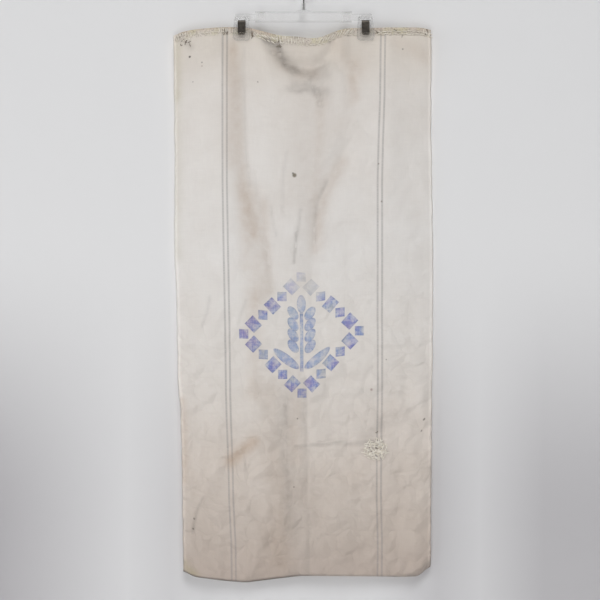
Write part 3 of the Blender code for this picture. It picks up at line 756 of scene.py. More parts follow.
def mark_shapes(tree, across, drop):
    """Below 1 inside the mark's shapes, 1 on their edges, from the cloth's place in millimetres."""
    x = apart(tree, across, MARK_ACROSS)
    y = calc(tree, "SUBTRACT", MARK_DROP, drop)
    flat_y = calc(tree, "ABSOLUTE", y)
    # Off the diamond's side, and along it
    total = calc(tree, "ADD", x, flat_y)
    off = calc(tree, "MULTIPLY_ADD", total, math.sqrt(0.5), -DIAMOND_SIDE)
    off = calc(tree, "ABSOLUTE", off)
    lean = calc(tree, "SUBTRACT", x, flat_y)
    along = calc(tree, "MULTIPLY", lean, math.sqrt(0.5))
    cell = calc(tree, "PINGPONG", along, BLOCK_PITCH)
    block_reach = calc(tree, "DIVIDE", cell, BLOCK_HALF)
    block_height = calc(tree, "DIVIDE", off, DIAMOND_BAND)
    block = calc(tree, "MAXIMUM", block_reach, block_height)
    from_lozenge = calc(tree, "SUBTRACT", BLOCK_PITCH, cell)
    lozenge = calc(tree, "ADD", from_lozenge, off)
    lozenge = calc(tree, "DIVIDE", lozenge, LOZENGE_HALF)
    nearest = calc(tree, "MINIMUM", block, lozenge)
    # Each oval is turned and scaled so that its edge lies at a length of 1
    spot = add(tree, "CombineXYZ", None, {0: x, 1: y})
    for grain in (*GRAINS, LEAF):
        oval = add(tree, "Mapping", {"vector_type": "TEXTURE"}, {
            "Vector": spot,
            "Location": (grain.across, grain.up, 0),
            "Rotation": (0, 0, -math.radians(grain.lean)),
            "Scale": (grain.half_width, grain.half_length, 1),
        })
        length = add(tree, "VectorMath", {"operation": "LENGTH"}, {0: oval})
        nearest = calc(tree, "MINIMUM", nearest, length.outputs["Value"])
    stem = calc(tree, "DIVIDE", x, STEM_HALF)
    middle, half = (STEM_TOP + STEM_FOOT) / 2, (STEM_TOP - STEM_FOOT) / 2
    stem_y = calc(tree, "DIVIDE", apart(tree, y, middle), half)
    stem = calc(tree, "MAXIMUM", stem, stem_y)
    return calc(tree, "MINIMUM", nearest, stem)


print("mark", round(2 * DIAMOND_SIDE * math.sqrt(2)), "mm from corner to corner")

# %% [markdown]
# ## Unbleached cotton, plain woven
#
# Heavy cotton sheeting is matt and slightly fuzzy, so it has a high roughness and a little sheen.
# Its colour comes in layers, and the nodes put them on in this order: the cloth's own cream, which
# dirt darkens towards the foot; the coloured warp threads; painted light along the side folds; the
# ink, which fading and rubbing have broken up; then soil, painted shade in the troughs, creases and
# swag and along the bottom edge, specks and small holes. Last comes the relief of the threads. All
# of it reads the cloth's own coordinates, so that it follows every fold.

# %% Specks and small holes, in millimetres as hung
MOUTH_HEIGHT = 0.12  # about how far below the hook the mouth hangs, in metres
Speck = namedtuple("Speck", "x z size hex strength")
SPECKS = [Speck(*row) for row in (
    (-18, -403, 6.0, "#6E6450", 0.85), (-21, -399, 3.0, "#4A443A", 0.6),
    (-224, -169, 3.0, "#4E4A46", 0.9), (-200, -180, 2.2, "#6E6660", 0.6),
    (-200, -187, 2.2, "#8A6A62", 0.4), (-218, -218, 1.8, "#6E6660", 0.5),
    (-90, -219, 2.0, "#6E6660", 0.6), (147, -380, 2.4, "#6E5F55", 0.6),
    (153, -454, 2.4, "#6E5F55", 0.6), (195, -154, 2.4, "#5E5A54", 0.6),
    (133, -823, 3.6, "#8A5A55", 0.45), (162, -764, 2.0, "#6E6660", 0.5),
    (237, -882, 3.4, "#5A544E", 0.7), (232, -905, 2.6, "#6E6660", 0.6),
    (-12, -880, 2.6, "#6E6660", 0.6), (-19, -1014, 2.4, "#6E6660", 0.6),
    (-215, -1077, 3.0, "#5A544E", 0.6), (-217, -1097, 3.0, "#5A544E", 0.6),
)]


def drop_at(x, z):
    """Drop below the mouth at which a point of the hung cloth lies, found in a few rounds."""
    across = (x - read(SIDES, 1, z)) / (read(SIDES, 2, z) - read(SIDES, 1, z))
    drop = np.array(-MOUTH_HEIGHT - z)
    for _ in range(20):
        drop = drop + (place_on_cloth(np.array(across), drop)[1] - z)
    return float(drop)


print(len(SPECKS), "specks and holes")

# %% Cotton's cream, with clouds as broad as a hand and slubs along the threads both ways
# Colours at shares of the way down
DOWN_CLOTH = (
    (0.0, "#DAD2C8"), (0.05, "#DDD6CE"), (0.12, "#E2DDD8"), (0.4, "#E4E1DE"), (0.62, "#DFDAD5"),
    (0.78, "#D5CCC4"), (0.92, "#C4B9B0"), (1.0, "#BAADA4"),
)
CLOUD = 70  # breadth of a cloud in millimetres
SLUB_WIDTH, SLUB_LENGTH = 1.6, 34
WIDTH, LENGTH = CLOTH_WIDTH / MM, CLOTH_LENGTH / MM

cotton, tree, shader = new_material(
    "unbleached cotton, plain woven", Roughness=0.95, Sheen_Weight=0.12, Sheen_Roughness=0.6,
    Specular_IOR_Level=0.25,
)
cloth = scaled(tree, add(tree, "UVMap", {"uv_map": "cloth"}), 1000.0)
place = add(tree, "SeparateXYZ", None, {0: cloth})
across, drop = place.outputs[0], place.outputs[1]
base = tones(tree, calc(tree, "DIVIDE", drop, LENGTH), DOWN_CLOTH)
clouds = noise(tree, cloth, 1 / CLOUD, 4.0)
base = over(tree, remap(tree, clouds, 0.3, 0.7, 0.0, 0.16), base, "#D8CEC4", "MULTIPLY")
slubs = []
for width, length in ((SLUB_WIDTH, SLUB_LENGTH), (SLUB_LENGTH, SLUB_WIDTH)):
    run = add(tree, "Mapping", None, {"Vector": cloth, "Scale": (1 / width, 1 / length, 1)})
    slubs.append(noise(tree, run, 1.0, 2.0))
slub = calc(tree, "ADD", *slubs)
base = scaled(tree, base, remap(tree, slub, 0.7, 1.3, 0.982, 1.018))
print("clouds", CLOUD, "mm broad, slubs", SLUB_LENGTH, "mm long")

# %% Stripes, and painted light on the side folds
# Front and back fold onto one width, and each line has its distance from the nearer pair
STRIPE_GAP = 8.6  # between the two lines of a pair
STRIPE_HALF = 1.8
PAINTED_LIGHT_WIDTH, PAINTED_LIGHT_GAIN = 8, 1.28

folded = calc(tree, "PINGPONG", across, WIDTH)
from_pairs = [apart(tree, folded, middle / MM) for middle in (STRIPE_LEFT, STRIPE_RIGHT)]
line = apart(tree, calc(tree, "MINIMUM", *from_pairs), STRIPE_GAP / 2)
stripe = remap(tree, line, STRIPE_HALF - 0.5, STRIPE_HALF + 0.7, 1.0, 0.0, eased=True)
stripe = calc(tree, "MULTIPLY", stripe, remap(tree, slubs[1], 0.35, 0.65, 0.3, 0.52))
base = over(tree, stripe, base, "#8B8788")
# Painted light: the cloth is made paler towards each side fold, where the rounded fold turns from the
# lamps
from_side = calc(tree, "MINIMUM", folded, calc(tree, "SUBTRACT", WIDTH, folded))
base = scaled(tree, base, remap(tree, from_side, 0, PAINTED_LIGHT_WIDTH, PAINTED_LIGHT_GAIN, 1.0))
print("stripes", 2 * STRIPE_HALF, "mm wide")

# %% Ink
# Bluer in places and greyer in others, paler in the middle, darker where it pooled at edges, thin
# over the slubs, rubbed away in patches and almost gone at the top
INKS = ((0.34, "#8782B6"), (0.44, "#6E7ABD"), (0.53, "#8698C2"), (0.64, "#969EAC"))
INK_INNER = "#9BACC8"
INK_EDGE = "#646C90"
GONE_AT = (MARK_ACROSS + 6, MARK_DROP - 118, 0)

shapes = mark_shapes(tree, across, drop)
ink = tones(tree, noise(tree, cloth, 1 / 40, 2.0), INKS)
from_middle = distance(tree, cloth, (MARK_ACROSS, MARK_DROP, 0))
ink = over(tree, remap(tree, from_middle, 62, 84, 0.7, 0.0), ink, INK_INNER)
wear = noise(tree, cloth, 1 / 12, 5.0, 0.65)
pooled = calc(tree, "MULTIPLY", remap(tree, shapes, 0.76, 0.95, 0.0, 0.75), wear)
ink = over(tree, pooled, ink, INK_EDGE)
worn = remap(tree, wear, 0.34, 0.56, 0.3, 0.95)
faded = remap(tree, distance(tree, cloth, GONE_AT), 26, 74, 0.38, 1.0)
thin = remap(tree, slub, 0.8, 1.2, 0.75, 1.1)
cover = remap(tree, shapes, 0.95, 1.05, 1.0, 0.0, eased=True)
for share in (worn, faded, thin):
    cover = add(tree, "Math", {"operation": "MULTIPLY", "use_clamp": True}, {0: cover, 1: share})
base = over(tree, cover, base, ink)
print("mark inked in", len(INKS), "blues")

# %% Soil and painted shade brushed on the cloth's points, and crisp facets
soil_and_shade = add(tree, "VertexColor", {"layer_name": "soil_and_shade"})
broken = remap(tree, noise(tree, cloth, 1 / 14, 5.0, 0.6), 0.3, 0.7, 0.72, 1.25)
amounts = add(tree, "SeparateColor", None, {0: scaled(tree, soil_and_shade, broken)})
# Brown soil with some warm painted shade, greenish stains, and grey painted shade with a few grey marks
for i, hex_value in ((BROWN, "#A98A6C"), (GREENISH, "#A39C6C"), (SHADE_AND_GREY_MARKS, "#6F6A66")):
    base = over(tree, amounts.outputs[i], base, hex_value)

# Folded storage has pressed the facets into the lower half more than the upper, and painted shade,
# with a little dirt, darkens the lines between them
FACET_WIDTH = 38
FACET_DRIFT = 60
drift = noise(tree, cloth, 1 / FACET_DRIFT, 3.0)
drifted = add(tree, "VectorMath", {"operation": "MULTIPLY_ADD"}, {
    0: drift.outputs["Color"], 1: (FACET_DRIFT, FACET_DRIFT, 0), 2: cloth,
})
facets = add(tree, "TexVoronoi", {"feature": "DISTANCE_TO_EDGE"}, {
    "Vector": drifted, "Scale": 1 / FACET_WIDTH,
})
lines = remap(tree, facets, 0.0, 0.05, 0.07, 0.0)
lower = remap(tree, drop, 420, 760, 0.2, 1.0)
facets = calc(tree, "MULTIPLY", facets, lower)
for share in (lower, remap(tree, clouds, 0.42, 0.58, 0.1, 1.0)):
    lines = calc(tree, "MULTIPLY", lines, share)
# Painted shade along the lines between the facets
base = over(tree, lines, base, "#8D8279")
print("facets", FACET_WIDTH, "mm wide")

# %% Closed end, hem and specks
# Painted shade along the very edge of the closed end, where it turns under, most on its left
bottom_edge_shade = remap(tree, drop, LENGTH - 6, LENGTH - 1, 0.0, 0.8)
bottom_edge_shade = calc(tree, "MULTIPLY", bottom_edge_shade, remap(tree, folded, 220, 280, 1.0, 0.2))
base = over(tree, bottom_edge_shade, base, "#5A544E")
# The turned hem is yellowed in patches and grimed between its stitches
HEM_SPOTS = ((24, 0.46, 0.6, 0.55, "#CDC7A6"), (3.2, 0.5, 0.66, 0.8, "#8A7B6E"))
hem = remap(tree, drop, 11.0, 18.0, 1.0, 0.0, eased=True)
for patch, low, high, most, hex_value in HEM_SPOTS:
    spots = remap(tree, noise(tree, cloth, 1 / patch, 3.0, 0.6), low, high, 0.0, most)
    base = over(tree, calc(tree, "MULTIPLY", spots, hem), base, hex_value)
for speck in SPECKS:
    x, z = speck.x * MM, speck.z * MM
    middle = (float(thread_across(np.array(x), np.array(z))) / MM, drop_at(x, z) / MM, 0)
    away = distance(tree, cloth, middle)
    dot = remap(tree, away, speck.size * 0.35, speck.size, speck.strength, 0.0, eased=True)
    base = over(tree, dot, base, speck.hex)
print("edges, hem and specks marked")

# %% Relief of the cotton
# In a plain weave, warp and weft ridges take turns on top, as on a chequerboard
THREAD = 1.3  # spacing of the threads in millimetres
ridges = []
for direction in ("X", "Y"):
    wave = add(tree, "TexWave", {"bands_direction": direction, "wave_profile": "SIN"}, {
        "Vector": cloth, "Scale": math.pi / (10 * THREAD), "Distortion": 0.6, "Detail": 1.0,
    })
    ridges.append(wave.outputs["Fac"])
turn = add(tree, "TexChecker", None, {"Vector": cloth, "Scale": 1 / THREAD})
threads = calc(tree, "MULTIPLY_ADD", slub, 0.8, over(tree, turn.outputs["Fac"], *ridges))
faceted = bump(tree, facets, 7.5 * MM, 1.0)
creased = bump(tree, noise(tree, cloth, 1 / 16, 5.0, 0.6), 1.5 * MM, 0.6, faceted)
woven = bump(tree, threads, 0.22 * MM, 0.7, creased)
plug(tree, shader, Base_Color=base, Normal=woven)
sack = new_piece("sack_cloth", sack_mesh, cotton)
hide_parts("sack")
print("cotton has", len(tree.nodes), "nodes")

# %% [markdown]
# ## Hem stitches and the darn
#
# The mouth's turned hem is held by thick hand stitches in cream thread, and a worn spot near the
# right stripe is darned with crossed stitches of the same thread. Drawn thread would look flat from
# the side, so each stitch is a short length of real thread that dips into the cloth at both ends.
# Curves with a round profile give that in a few points each, and all of a kind become one mesh.

# %% Sewn thread
HEM_THREAD, DARN_THREAD, FRAYED_THREAD = 2.0 * MM, 1.9 * MM, 1.1 * MM
FRAY_STEP = 1.7
rng = random.Random(8)


def on_front(x, drop, lift):
    """Point above the front at a place across, as hung, and a drop below the mouth."""
    z = place_on_cloth(np.array(0.5), np.array(drop))[1]
    left, right = read(SIDES, 1, z), read(SIDES, 2, z)
    across = np.array([(x - left) / (right - left)])
    px, py, pz = surface_of_sack("front", across, np.array([drop]))
    return Vector((px[0], py[0] - lift, pz[0]))


def sew(name, routes, thickness, material):
    """One mesh of short threads. Each route is a list of (point, share of the thickness)."""
    curve = bpy.data.curves.new(name, "CURVE")
    curve.dimensions = "3D"
    curve.bevel_depth = thickness / 2
    curve.bevel_resolution = 1
    curve.use_fill_caps = True
    for route in routes:
        line = curve.splines.new("POLY")
        line.points.add(len(route) - 1)
        for point, (place, share) in zip(line.points, route):
            point.co = (*place, 1.0)
            point.radius = share
    drawn = bpy.data.objects.new(name, curve)
    data = bpy.data.meshes.new_from_object(drawn)
    bpy.data.objects.remove(drawn)
    mesh = bmesh.new()
    mesh.from_mesh(data)
    bpy.data.meshes.remove(data)
    bmesh.ops.recalc_face_normals(mesh, faces=mesh.faces[:])
    piece = new_piece(name, mesh, material)
    print(name, len(routes), "threads,", len(piece.data.polygons), "faces")
    return piece


def stitch(x, drop, run_x, run_drop, height, sunk=0.5 * MM):
    """Route of one stitch from a place on the hem, over the cloth and back into it."""
    route = []
    for share, lift in ((0.0, -sunk), (0.12, height * 0.7), (0.35, height), (0.65, height),
                        (0.88, height * 0.7), (1.0, -sunk)):
        point = on_front(x + run_x * share, max(drop + run_drop * share, 0.2 * MM), lift)
        route.append((point, 1.0 if 0.1 < share < 0.9 else 0.7))
    return route


# Along each part of the hem, in millimetres: the space from stitch to stitch, how far each runs to
# the right, the drop at which it starts, and how far it falls
Sewing = namedtuple("Sewing", "left right step run drop fall")
SEWING = [Sewing(*row) for row in (
    (-252, -222, 5, 3, 3, 9),
    (-246, -224, 6, 4, 14, 5),
    (-216, -164, 12, 8, 9, 1),
    (-166, -148, 4.5, 1, 2, 9),
    (-98, -52, 7, 8, 7, 4),
    (-90, -50, 11, 6, 14, 2),
    (-52, 4, 5, 1, 0.5, 14),
    (-46, 56, 9, 5, 14, 1),
    (30, 98, 5.2, 6, 11, -8),
    (50, 98, 9, 6, 13, 0),
    (146, 172, 9, 9, 8, 0.5),
    (146, 248, 7.6, 7, 13, 0),
    (176, 248, 8.2, 7, 7.5, 0.4),
    (236, 250, 5, 1, 2, 10),
)]
hem_routes = []
for part in SEWING:
    x = part.left
    while x < part.right:
        run = part.run + rng.uniform(-1.2, 1.2)
        fall = part.fall + rng.uniform(-1.8, 1.8)
        drop = part.drop + rng.uniform(-1.0, 1.0)
        hem_routes.append(stitch(x * MM, drop * MM, run * MM, fall * MM, rng.uniform(0.9, 1.5) * MM))
        x += part.step * rng.uniform(0.75, 1.3)

thread_cotton, tree, shader = new_material(
    "spun cotton thread, cream", Roughness=0.9, Sheen_Weight=0.15, Specular_IOR_Level=0.25
)
where = add(tree, "TexCoord").outputs["Object"]
fuzz = noise(tree, where, 260.0, 3.0)
tone = tones(tree, fuzz, ((0.3, "#CBC1B2"), (0.6, "#E9E4DA")))
twist = add(tree, "TexWave", {"bands_direction": "DIAGONAL"}, {
    "Vector": where, "Scale": 300.0, "Distortion": 1.0,
})
twisted = bump(tree, twist.outputs["Fac"], 0.2 * MM, 0.6)
plug(tree, shader, Base_Color=tone, Normal=twisted)
hem_stitches = sew("hem_stitches", hem_routes, HEM_THREAD, thread_cotton)

# %% Darn beside the right stripe
# A worn spot is filled with thick crossed stitches, no two alike, in a ragged oval
DARN_X, DARN_Z = 141 * MM, -941 * MM
DARN_HALF_WIDTH, DARN_HALF_HEIGHT = 24, 20
DARN_STITCHES = 96
darn_drop = drop_at(DARN_X, DARN_Z)
darn_routes = []
for i in range(DARN_STITCHES):
    turn = rng.uniform(0, 2 * math.pi)
    out = math.sqrt(rng.uniform(0.0, 1.0))
    length = rng.uniform(6, 15)
    angle = rng.choice((0, 0, 90)) + rng.uniform(-24, 24)
    run = length * math.cos(math.radians(angle))
    fall = length * math.sin(math.radians(angle))
    px = DARN_X + (out * math.cos(turn) * DARN_HALF_WIDTH - run / 2) * MM
    pd = darn_drop + (out * math.sin(turn) * DARN_HALF_HEIGHT - fall / 2) * MM
    darn_routes.append(stitch(px, pd, run * MM, fall * MM, rng.uniform(0.6, 2.0) * MM))
darn = sew("darn", darn_routes, DARN_THREAD, thread_cotton)

# %% Frayed threads at the mouth
# Old dark thread ends stand out of the hem at its left corner, round the clips and in the darn
Fray = namedtuple("Fray", "x drop count spread")
FRAYS = [Fray(*row) for row in (
    (-238, 20, 5, 6), (-244, 7, 3, 7), (-225, 26, 2, 6), (-154, 10, 7, 6),
    (-100, 12, 5, 6), (-50, 17, 5, 4), (146, 12, 3, 6), (96, 12, 2, 5),
    (186, 5, 3, 12), (244, 9, 3, 5), (DARN_X / MM, darn_drop / MM, 16, 26),
)]
fray_routes = []
for fray in FRAYS:
    for i in range(fray.count):
        x, drop = fray.x + rng.gauss(0, fray.spread / 2), fray.drop + rng.gauss(0, fray.spread / 2)
        heading = rng.uniform(0, 2 * math.pi)
        route = []
        for lift in (-0.4, 0.5, 0.9, 0.7, 0.4):
            route.append((on_front(x * MM, max(drop, 0.3) * MM, lift * MM), 1.0))
            heading += rng.uniform(-0.9, 0.9)
            x += FRAY_STEP * math.cos(heading)
            drop += FRAY_STEP * math.sin(heading)
        fray_routes.append(route)
grimed_thread, tree, shader = new_material(
    "spun cotton thread, grimed", Base_Color=colour("#7A6F63"), Roughness=0.95, Specular_IOR_Level=0.2
)
frays = sew("frayed_threads", fray_routes, FRAYED_THREAD, grimed_thread)

# %% [markdown]
# ## Clear moulded polystyrene
#
# The bar and the jaws are moulded in clear plastic. Looked at straight on they nearly vanish, and
# their rims and corners show as grey lines where one looks through more of it. Real glass shading
# would need light to pass the jaws before it reaches the hem behind, which renders slowly and dark.
# So the alpha follows the angle of view instead: thin on faces and dense on edges.

# %% Clear plastic
BLOCK_X = 84  # middle of the thick block at each end of the bar, in millimetres
plastic, tree, shader = new_material(
    "polystyrene, clear moulded", Roughness=0.08, IOR=1.59, Coat_Weight=0.3, Coat_Roughness=0.05
)
edge_on = add(tree, "LayerWeight", None, {"Blend": 0.5})
dense = remap(tree, edge_on.outputs["Facing"], 0.05, 0.85, 0.08, 0.56)
tone = tones(tree, edge_on.outputs["Facing"], ((0.0, "#E0DFDE"), (1.0, "#8C9091")))
where = add(tree, "TexCoord").outputs["Object"]
scuffs = noise(tree, where, 90.0, 4.0)
ripple = bump(tree, scuffs, 0.4 * MM, 0.25)
# The bar is thickest where each end narrows into its tongue
place = add(tree, "SeparateXYZ", None, {0: where})
from_block = apart(tree, calc(tree, "ABSOLUTE", place.outputs["X"]), BLOCK_X * MM)
thick = remap(tree, from_block, 5 * MM, 10 * MM, 0.22, 0.0)
dense = calc(tree, "ADD", dense, thick)
plug(tree, shader, Alpha=dense, Base_Color=tone, Normal=ripple)
for slot in bpy.data.objects["hanger_bar"].material_slots:
    slot.material = plastic

# %% [markdown]
# ## The jaws
#
# A moulded jaw is a plate with a round foot, a raised rim, a rib either side of its spring, and a
# finger end that leans out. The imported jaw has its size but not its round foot, so each is made again.
# It starts as one flat face. Extruding gives the thickness, two insets give the rim, and four cuts
# mark out the window through which the spring passes. Bevelled edges catch the light as thin lines.

# %% Jaws, in millimetres
CLIP_SIDES = (("left", -1), ("right", 1))
# Half width, height and radius of each corner down one side
JAW_CORNERS = ((15, -89, 5), (15, -101, 6), (17.5, -116, 6), (17.5, -137, 10))
JAW_INNER = PRESSED + HEM_TURN + 0.4 * MM
JAW_THICKNESS = 2.8
JAW_RIM = 1.6
JAW_RIM_SLOPE = 0.6
JAW_RECESS = 0.8
JAW_BEVEL = 0.4
RIM_ANGLE = 1.2  # in radians: edges sharper than this are bevelled
JAW_FLARE = 0.35  # outward lean of the finger ends, metre for metre
SPRING_TOP = -97.5
WINDOW_HALF = 8.4
WINDOW_HEIGHTS = (-102.5, -96.8)
RIB_X, RIB_HALF, RIB_HEIGHTS = 10.4, 0.7, (-128, -105)


def rounded_outline(corners, steps=6):
    """Both sides' corners, each cut back by its radius and bent round in steps."""
    round_trip = [(-x, z, r) for x, z, r in corners] + [(x, z, r) for x, z, r in corners[::-1]]
    places = [Vector((x, z)) for x, z, _ in round_trip]
    points = []
    for i, (_, _, radius) in enumerate(round_trip):
        at, before, after = places[i], places[i - 1], places[(i + 1) % len(places)]
        start = at + (before - at).normalized() * radius
        end = at + (after - at).normalized() * radius
        for step in range(steps + 1):
            t = step / steps
            points.append(start * (1 - t) ** 2 + at * 2 * t * (1 - t) + end * t**2)
    return points


def build_jaw(side, facing):
    """One jaw of the clip on a side, in front (-1) or behind (1)."""
    mesh = bmesh.new()
    outline = rounded_outline(JAW_CORNERS)
    outer = JAW_INNER + JAW_THICKNESS * MM
    plate = mesh.faces.new([
        mesh.verts.new((side * CLIP_X + p.x * MM, facing * JAW_INNER, p.y * MM)) for p in outline
    ])
    made = bmesh.ops.extrude_face_region(mesh, geom=[plate], use_keep_orig=True)["geom"]
    front = [item for item in made if isinstance(item, bmesh.types.BMFace)]
    bmesh.ops.translate(mesh, verts=front[0].verts[:], vec=(0, facing * JAW_THICKNESS * MM, 0))
    bmesh.ops.recalc_face_normals(mesh, faces=mesh.faces[:])
    bmesh.ops.inset_region(mesh, faces=front, thickness=JAW_RIM * MM, use_even_offset=True)
    bmesh.ops.inset_region(mesh, faces=front, thickness=JAW_RIM_SLOPE * MM, use_even_offset=True)
    bmesh.ops.translate(mesh, verts=front[0].verts[:], vec=(0, -facing * JAW_RECESS * MM, 0))
    rims = [edge for edge in mesh.edges if edge.calc_face_angle(0.0) > RIM_ANGLE]
    rims = [edge for edge in rims if all(abs(v.co.y - facing * outer) < 0.01 * MM for v in edge.verts)]
    bmesh.ops.bevel(
        mesh, geom=rims, offset=JAW_BEVEL * MM, segments=2, profile=0.5, affect="EDGES", material=-1,
        clamp_overlap=True,
    )
    cuts = [((side * CLIP_X + half * MM, 0, 0), (1, 0, 0)) for half in (-WINDOW_HALF, WINDOW_HALF)]
    cuts += [((0, 0, height * MM), (0, 0, 1)) for height in WINDOW_HEIGHTS]
    for place, normal in cuts:
        everything = mesh.verts[:] + mesh.edges[:] + mesh.faces[:]
        bmesh.ops.bisect_plane(mesh, geom=everything, plane_co=place, plane_no=normal)
    window = []
    for face in mesh.faces:
        centre = face.calc_center_median()
        beside = abs(centre.x - side * CLIP_X) < WINDOW_HALF * MM
        if beside and WINDOW_HEIGHTS[0] * MM < centre.z < WINDOW_HEIGHTS[1] * MM:
            window.append(face)
    bmesh.ops.delete(mesh, geom=window, context="FACES")
    bmesh.ops.bridge_loops(mesh, edges=[edge for edge in mesh.edges if edge.is_boundary])
    rib_low, rib_high = RIB_HEIGHTS
    for rib_x in (-RIB_X, RIB_X):
        size = (2 * RIB_HALF * MM, JAW_RECESS * MM, (rib_high - rib_low) * MM)
        off = facing * (outer - JAW_RECESS * 0.55 * MM)
        centre = (side * CLIP_X + rib_x * MM, off, (rib_low + rib_high) / 2 * MM)
        placed = Matrix.Translation(centre) @ Matrix.Diagonal((*size, 1))
        bmesh.ops.create_cube(mesh, size=1.0, matrix=placed)
    bmesh.ops.recalc_face_normals(mesh, faces=mesh.faces[:])
    for point in mesh.verts:
        point.co.y += facing * JAW_FLARE * max(point.co.z - SPRING_TOP * MM, 0.0)
    return mesh


for side_name, side in CLIP_SIDES:
    for face_name, facing in (("front", -1), ("back", 1)):
        jaw = new_piece(f"jaw_{side_name}_{face_name}", build_jaw(side, facing), plastic, sharp_above=35)
        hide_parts(f"clip_{side_name}_{face_name}")
print("a jaw has", len(jaw.data.polygons), "faces")

# %% [markdown]
# ## Spring steel and plated wire
#
# The springs are tempered steel with a dark oxide skin, rubbed through to brighter metal in patches.
# The hook is plated wire, drawn through a die, which leaves fine lines along it. Both are metals, so
# their colour is the colour of their reflection.

# %% Metals
spring_steel, tree, shader = new_material("spring steel, tempered dark", Metallic=1.0, Roughness=0.42)
where = add(tree, "TexCoord").outputs["Object"]
patch = noise(tree, where, 260.0, 4.0)
tone = tones(tree, patch, ((0.0, "#34312E"), (1.0, "#6E6962")))
plug(tree, shader, Base_Color=tone)

# Each spring is a steel band bent over both jaws, with a raised border pressed into it and small
# slots near its tips. Points in rows along its bend carry all of that
BAND_HALF = 7.7
BAND_WALL = 0.9
BAND_LEG = JAW_INNER / MM + JAW_THICKNESS - JAW_RECESS + 0.3 + BAND_WALL / 2
BAND_HEAD = SPRING_TOP - BAND_WALL / 2
BAND_FOOT = -126
BAND_BEND = 2.2
TIP_CORNER = 3
BAND_COLUMNS = (-1.0, -0.84, -0.72, -0.6, -0.42, -0.14, 0.14, 0.42, 0.6, 0.72, 0.84, 1.0)
BORDER_RISE = {0.84: 0.12, 0.72: 0.45, 0.6: 0.12}
SLOT_ROW = 3
SLOTS = {"left": (3, 4, 6, 7), "right": (4, 5, 6)}


def band_route():
    """Places off the middle plane and heights along one leg, from its curled tip to the top."""
    curl = ((2.2, 0), (1.6, 0.9), (0.8, 2), (0, 3.4), (0, 5))
    route = [(BAND_LEG + out, BAND_FOOT + up) for out, up in curl]
    route += [(BAND_LEG, height) for height in (-118, -108, -102.5)]
    for i in range(6):
        angle = math.radians(18 * i)
        off = BAND_LEG - BAND_BEND + BAND_BEND * math.cos(angle)
        route.append((off, BAND_HEAD - BAND_BEND + BAND_BEND * math.sin(angle)))
    return route


def build_spring(side_name, side):
    mesh = bmesh.new()
    leg = band_route()
    rows = []
    for facing, part in ((-1, leg), (1, leg[::-1])):
        for off, height in part:
            half = BAND_HALF
            if height - BAND_FOOT < TIP_CORNER:
                from_end = TIP_CORNER - (height - BAND_FOOT)
                half += math.sqrt(TIP_CORNER**2 - from_end**2) - TIP_CORNER
            straight = BAND_FOOT + 3 < height < -101
            row = []
            for share in BAND_COLUMNS:
                rise = BORDER_RISE.get(abs(share), 0.0) if straight else 0.0
                place = (side * CLIP_X + half * share * MM, facing * (off + rise) * MM, height * MM)
                row.append(mesh.verts.new(place))
            rows.append(row)
    for i, (upper, lower) in enumerate(zip(rows, rows[1:])):
        for j in range(len(BAND_COLUMNS) - 1):
            if min(i, len(rows) - 2 - i) != SLOT_ROW or j not in SLOTS[side_name]:
                mesh.faces.new((upper[j], upper[j + 1], lower[j + 1], lower[j]))
    bmesh.ops.recalc_face_normals(mesh, faces=mesh.faces[:])
    bmesh.ops.solidify(mesh, geom=mesh.faces[:], thickness=BAND_WALL * MM)
    bmesh.ops.recalc_face_normals(mesh, faces=mesh.faces[:])
    return mesh


for side_name, side in CLIP_SIDES:
    band = new_piece(f"band_{side_name}", build_spring(side_name, side), spring_steel, sharp_above=40)
    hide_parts(f"spring_{side_name}")

wire, tree, shader = new_material("steel wire, drawn and plated", Metallic=1.0, Roughness=0.22)
where = add(tree, "TexCoord").outputs["Object"]
drawn = add(tree, "Mapping", None, {"Vector": where, "Scale": (1, 1, 0.05)})
lines = noise(tree, drawn, 1400.0, 2.0)
tone = tones(tree, lines, ((0.0, "#A9A9A8"), (1.0, "#CFCFCD")))
fine = bump(tree, lines, 0.05 * MM, 0.5)
plug(tree, shader, Base_Color=tone, Normal=fine)
for slot in bpy.data.objects["hook"].material_slots:
    slot.material = wire
print("metals on the springs and the hook")

# %% [markdown]
# ## Pale wall, floor and soft light
#
# The sack hangs close to a pale wall, so its shadow stays narrow. The wall's paint carries painted
# shade: darker low down and to the sides, with a painted soft shadow beside the sack. The wall shows
# only its front, and lets light through, so that the sack's back can be seen and lit as well. A large
# soft light stands far to the left and a weaker one far to the right, which draws the upright folds.
# A soft one above and a small one low down in front put narrow shadows along the bottom edge and over
# the hem. Two weak ones almost in line with the wall light the rounded side folds and graze the
# crumples, and one behind lights the back.

# %% Stage
WALL_Y = 0.0205
FLOOR_Z = -2.6
LIT_MIDDLE = Vector((0, 0, -0.55))
ROOM_LIGHT = 0.03  # what the room gives, and how bright it looks round the wall
ROOM_SEEN = 0.62


def stage_plane(name, size, matrix, material):
    mesh = bmesh.new()
    bmesh.ops.create_grid(mesh, x_segments=1, y_segments=1, size=size / 2, matrix=matrix)
    finished(name, mesh, material)


shaded_wall_paint, tree, shader = new_material("wall paint, matt", Roughness=0.95)
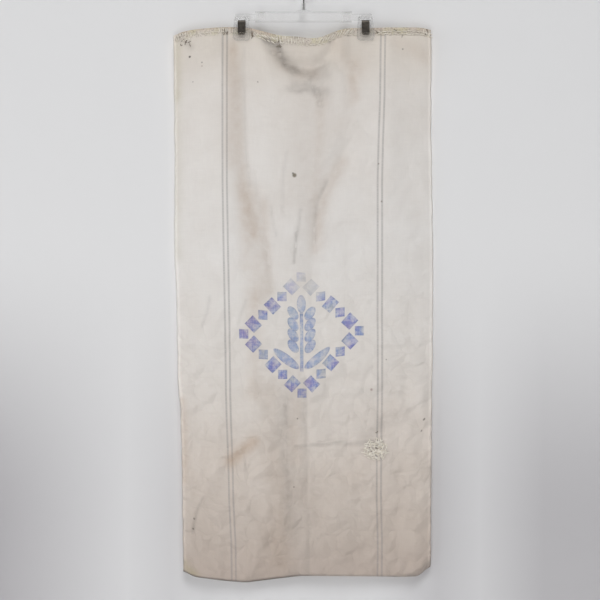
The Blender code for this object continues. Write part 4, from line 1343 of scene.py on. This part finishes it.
# Painted shade and shadow: darker low down, more so far to either side, most on the right, and close
# beside the sack
where = add(tree, "TexCoord").outputs["Object"]
place = add(tree, "SeparateXYZ", None, {0: where})
beside = remap(tree, place.outputs["X"], -0.7, 0.7, 0.0, 1.0)
wall_shade_shares = tones(tree, beside, ((0.05, "#FFFFFF"), (0.25, "#838383"), (0.31, "#A8A8A8"), (0.4, "#808080"),
                  (0.6, "#808080"), (0.69, "#CCCCCC"), (0.75, "#A4A4A4"), (0.84, "#E6E6E6")))
below = remap(tree, place.outputs["Z"], -0.5, -1.1, 0.0, 1.0, eased=True)
shaded = calc(tree, "MULTIPLY", wall_shade_shares, below)
paint = over(tree, shaded, "#DFDFE0", "#ABA9AC")
plug(tree, shader, Base_Color=paint)
faces_away = add(tree, "NewGeometry")
ray = add(tree, "LightPath")
unseen = calc(tree, "MAXIMUM", faces_away.outputs["Backfacing"], ray.outputs["Is Shadow Ray"])
clear = add(tree, "BsdfTransparent")
either = add(tree, "MixShader", None, {0: unseen, 1: shader, 2: clear})
plug(tree, tree.nodes["Material Output"], Surface=either)
upright = Matrix.Translation((0, WALL_Y, -0.2)) @ Matrix.Rotation(math.radians(90), 4, "X")
stage_plane("wall", 5.0, upright, shaded_wall_paint)
floor_paint, tree, shader = new_material("floor paint, matt", Base_Color=colour("#DCDCDC"), Roughness=0.9)
stage_plane("floor", 9.0, Matrix.Translation((0, 0, FLOOR_Z)), floor_paint)


def soft_light(name, place, size, power):
    """A square lamp that faces the middle of the sack."""
    lamp = bpy.data.lights.new(name, "AREA")
    lamp.size = size
    lamp.energy = power
    light = in_scene(name, lamp)
    light.location = place
    light.rotation_euler = (LIT_MIDDLE - Vector(place)).to_track_quat("-Z", "Y").to_euler()


soft_light("key light", (-5.6, -4.6, 0.2), 4.6, 118)
soft_light("fill light", (5.6, -4.6, -0.4), 4.6, 40)
soft_light("left edge light", (-4.0, -0.8, -0.6), 2.0, 26)
soft_light("right edge light", (4.0, -0.8, -0.6), 2.0, 14)
soft_light("low light", (-0.2, -3.1, -1.75), 1.5, 29)
soft_light("top light", (0.4, -4.6, 4.4), 3.0, 226)
soft_light("light behind", (0.8, 2.6, 0.6), 2.0, 64)
world = bpy.data.worlds.new("soft room light")
world.use_nodes = True
background = world.node_tree.nodes["Background"]
background.inputs["Color"].default_value = colour("#F4F5F6")
# The room round the wall looks pale, and gives little light of its own
ray = add(world.node_tree, "LightPath")
seen = remap(world.node_tree, ray.outputs["Is Camera Ray"], 0.0, 1.0, ROOM_LIGHT, ROOM_SEEN)
plug(world.node_tree, background, Strength=seen)
bpy.context.scene.world = world
# Without a film curve, the pale wall stays as pale as it is lit
bpy.context.scene.view_settings.view_transform = "Standard"
print("stage set")
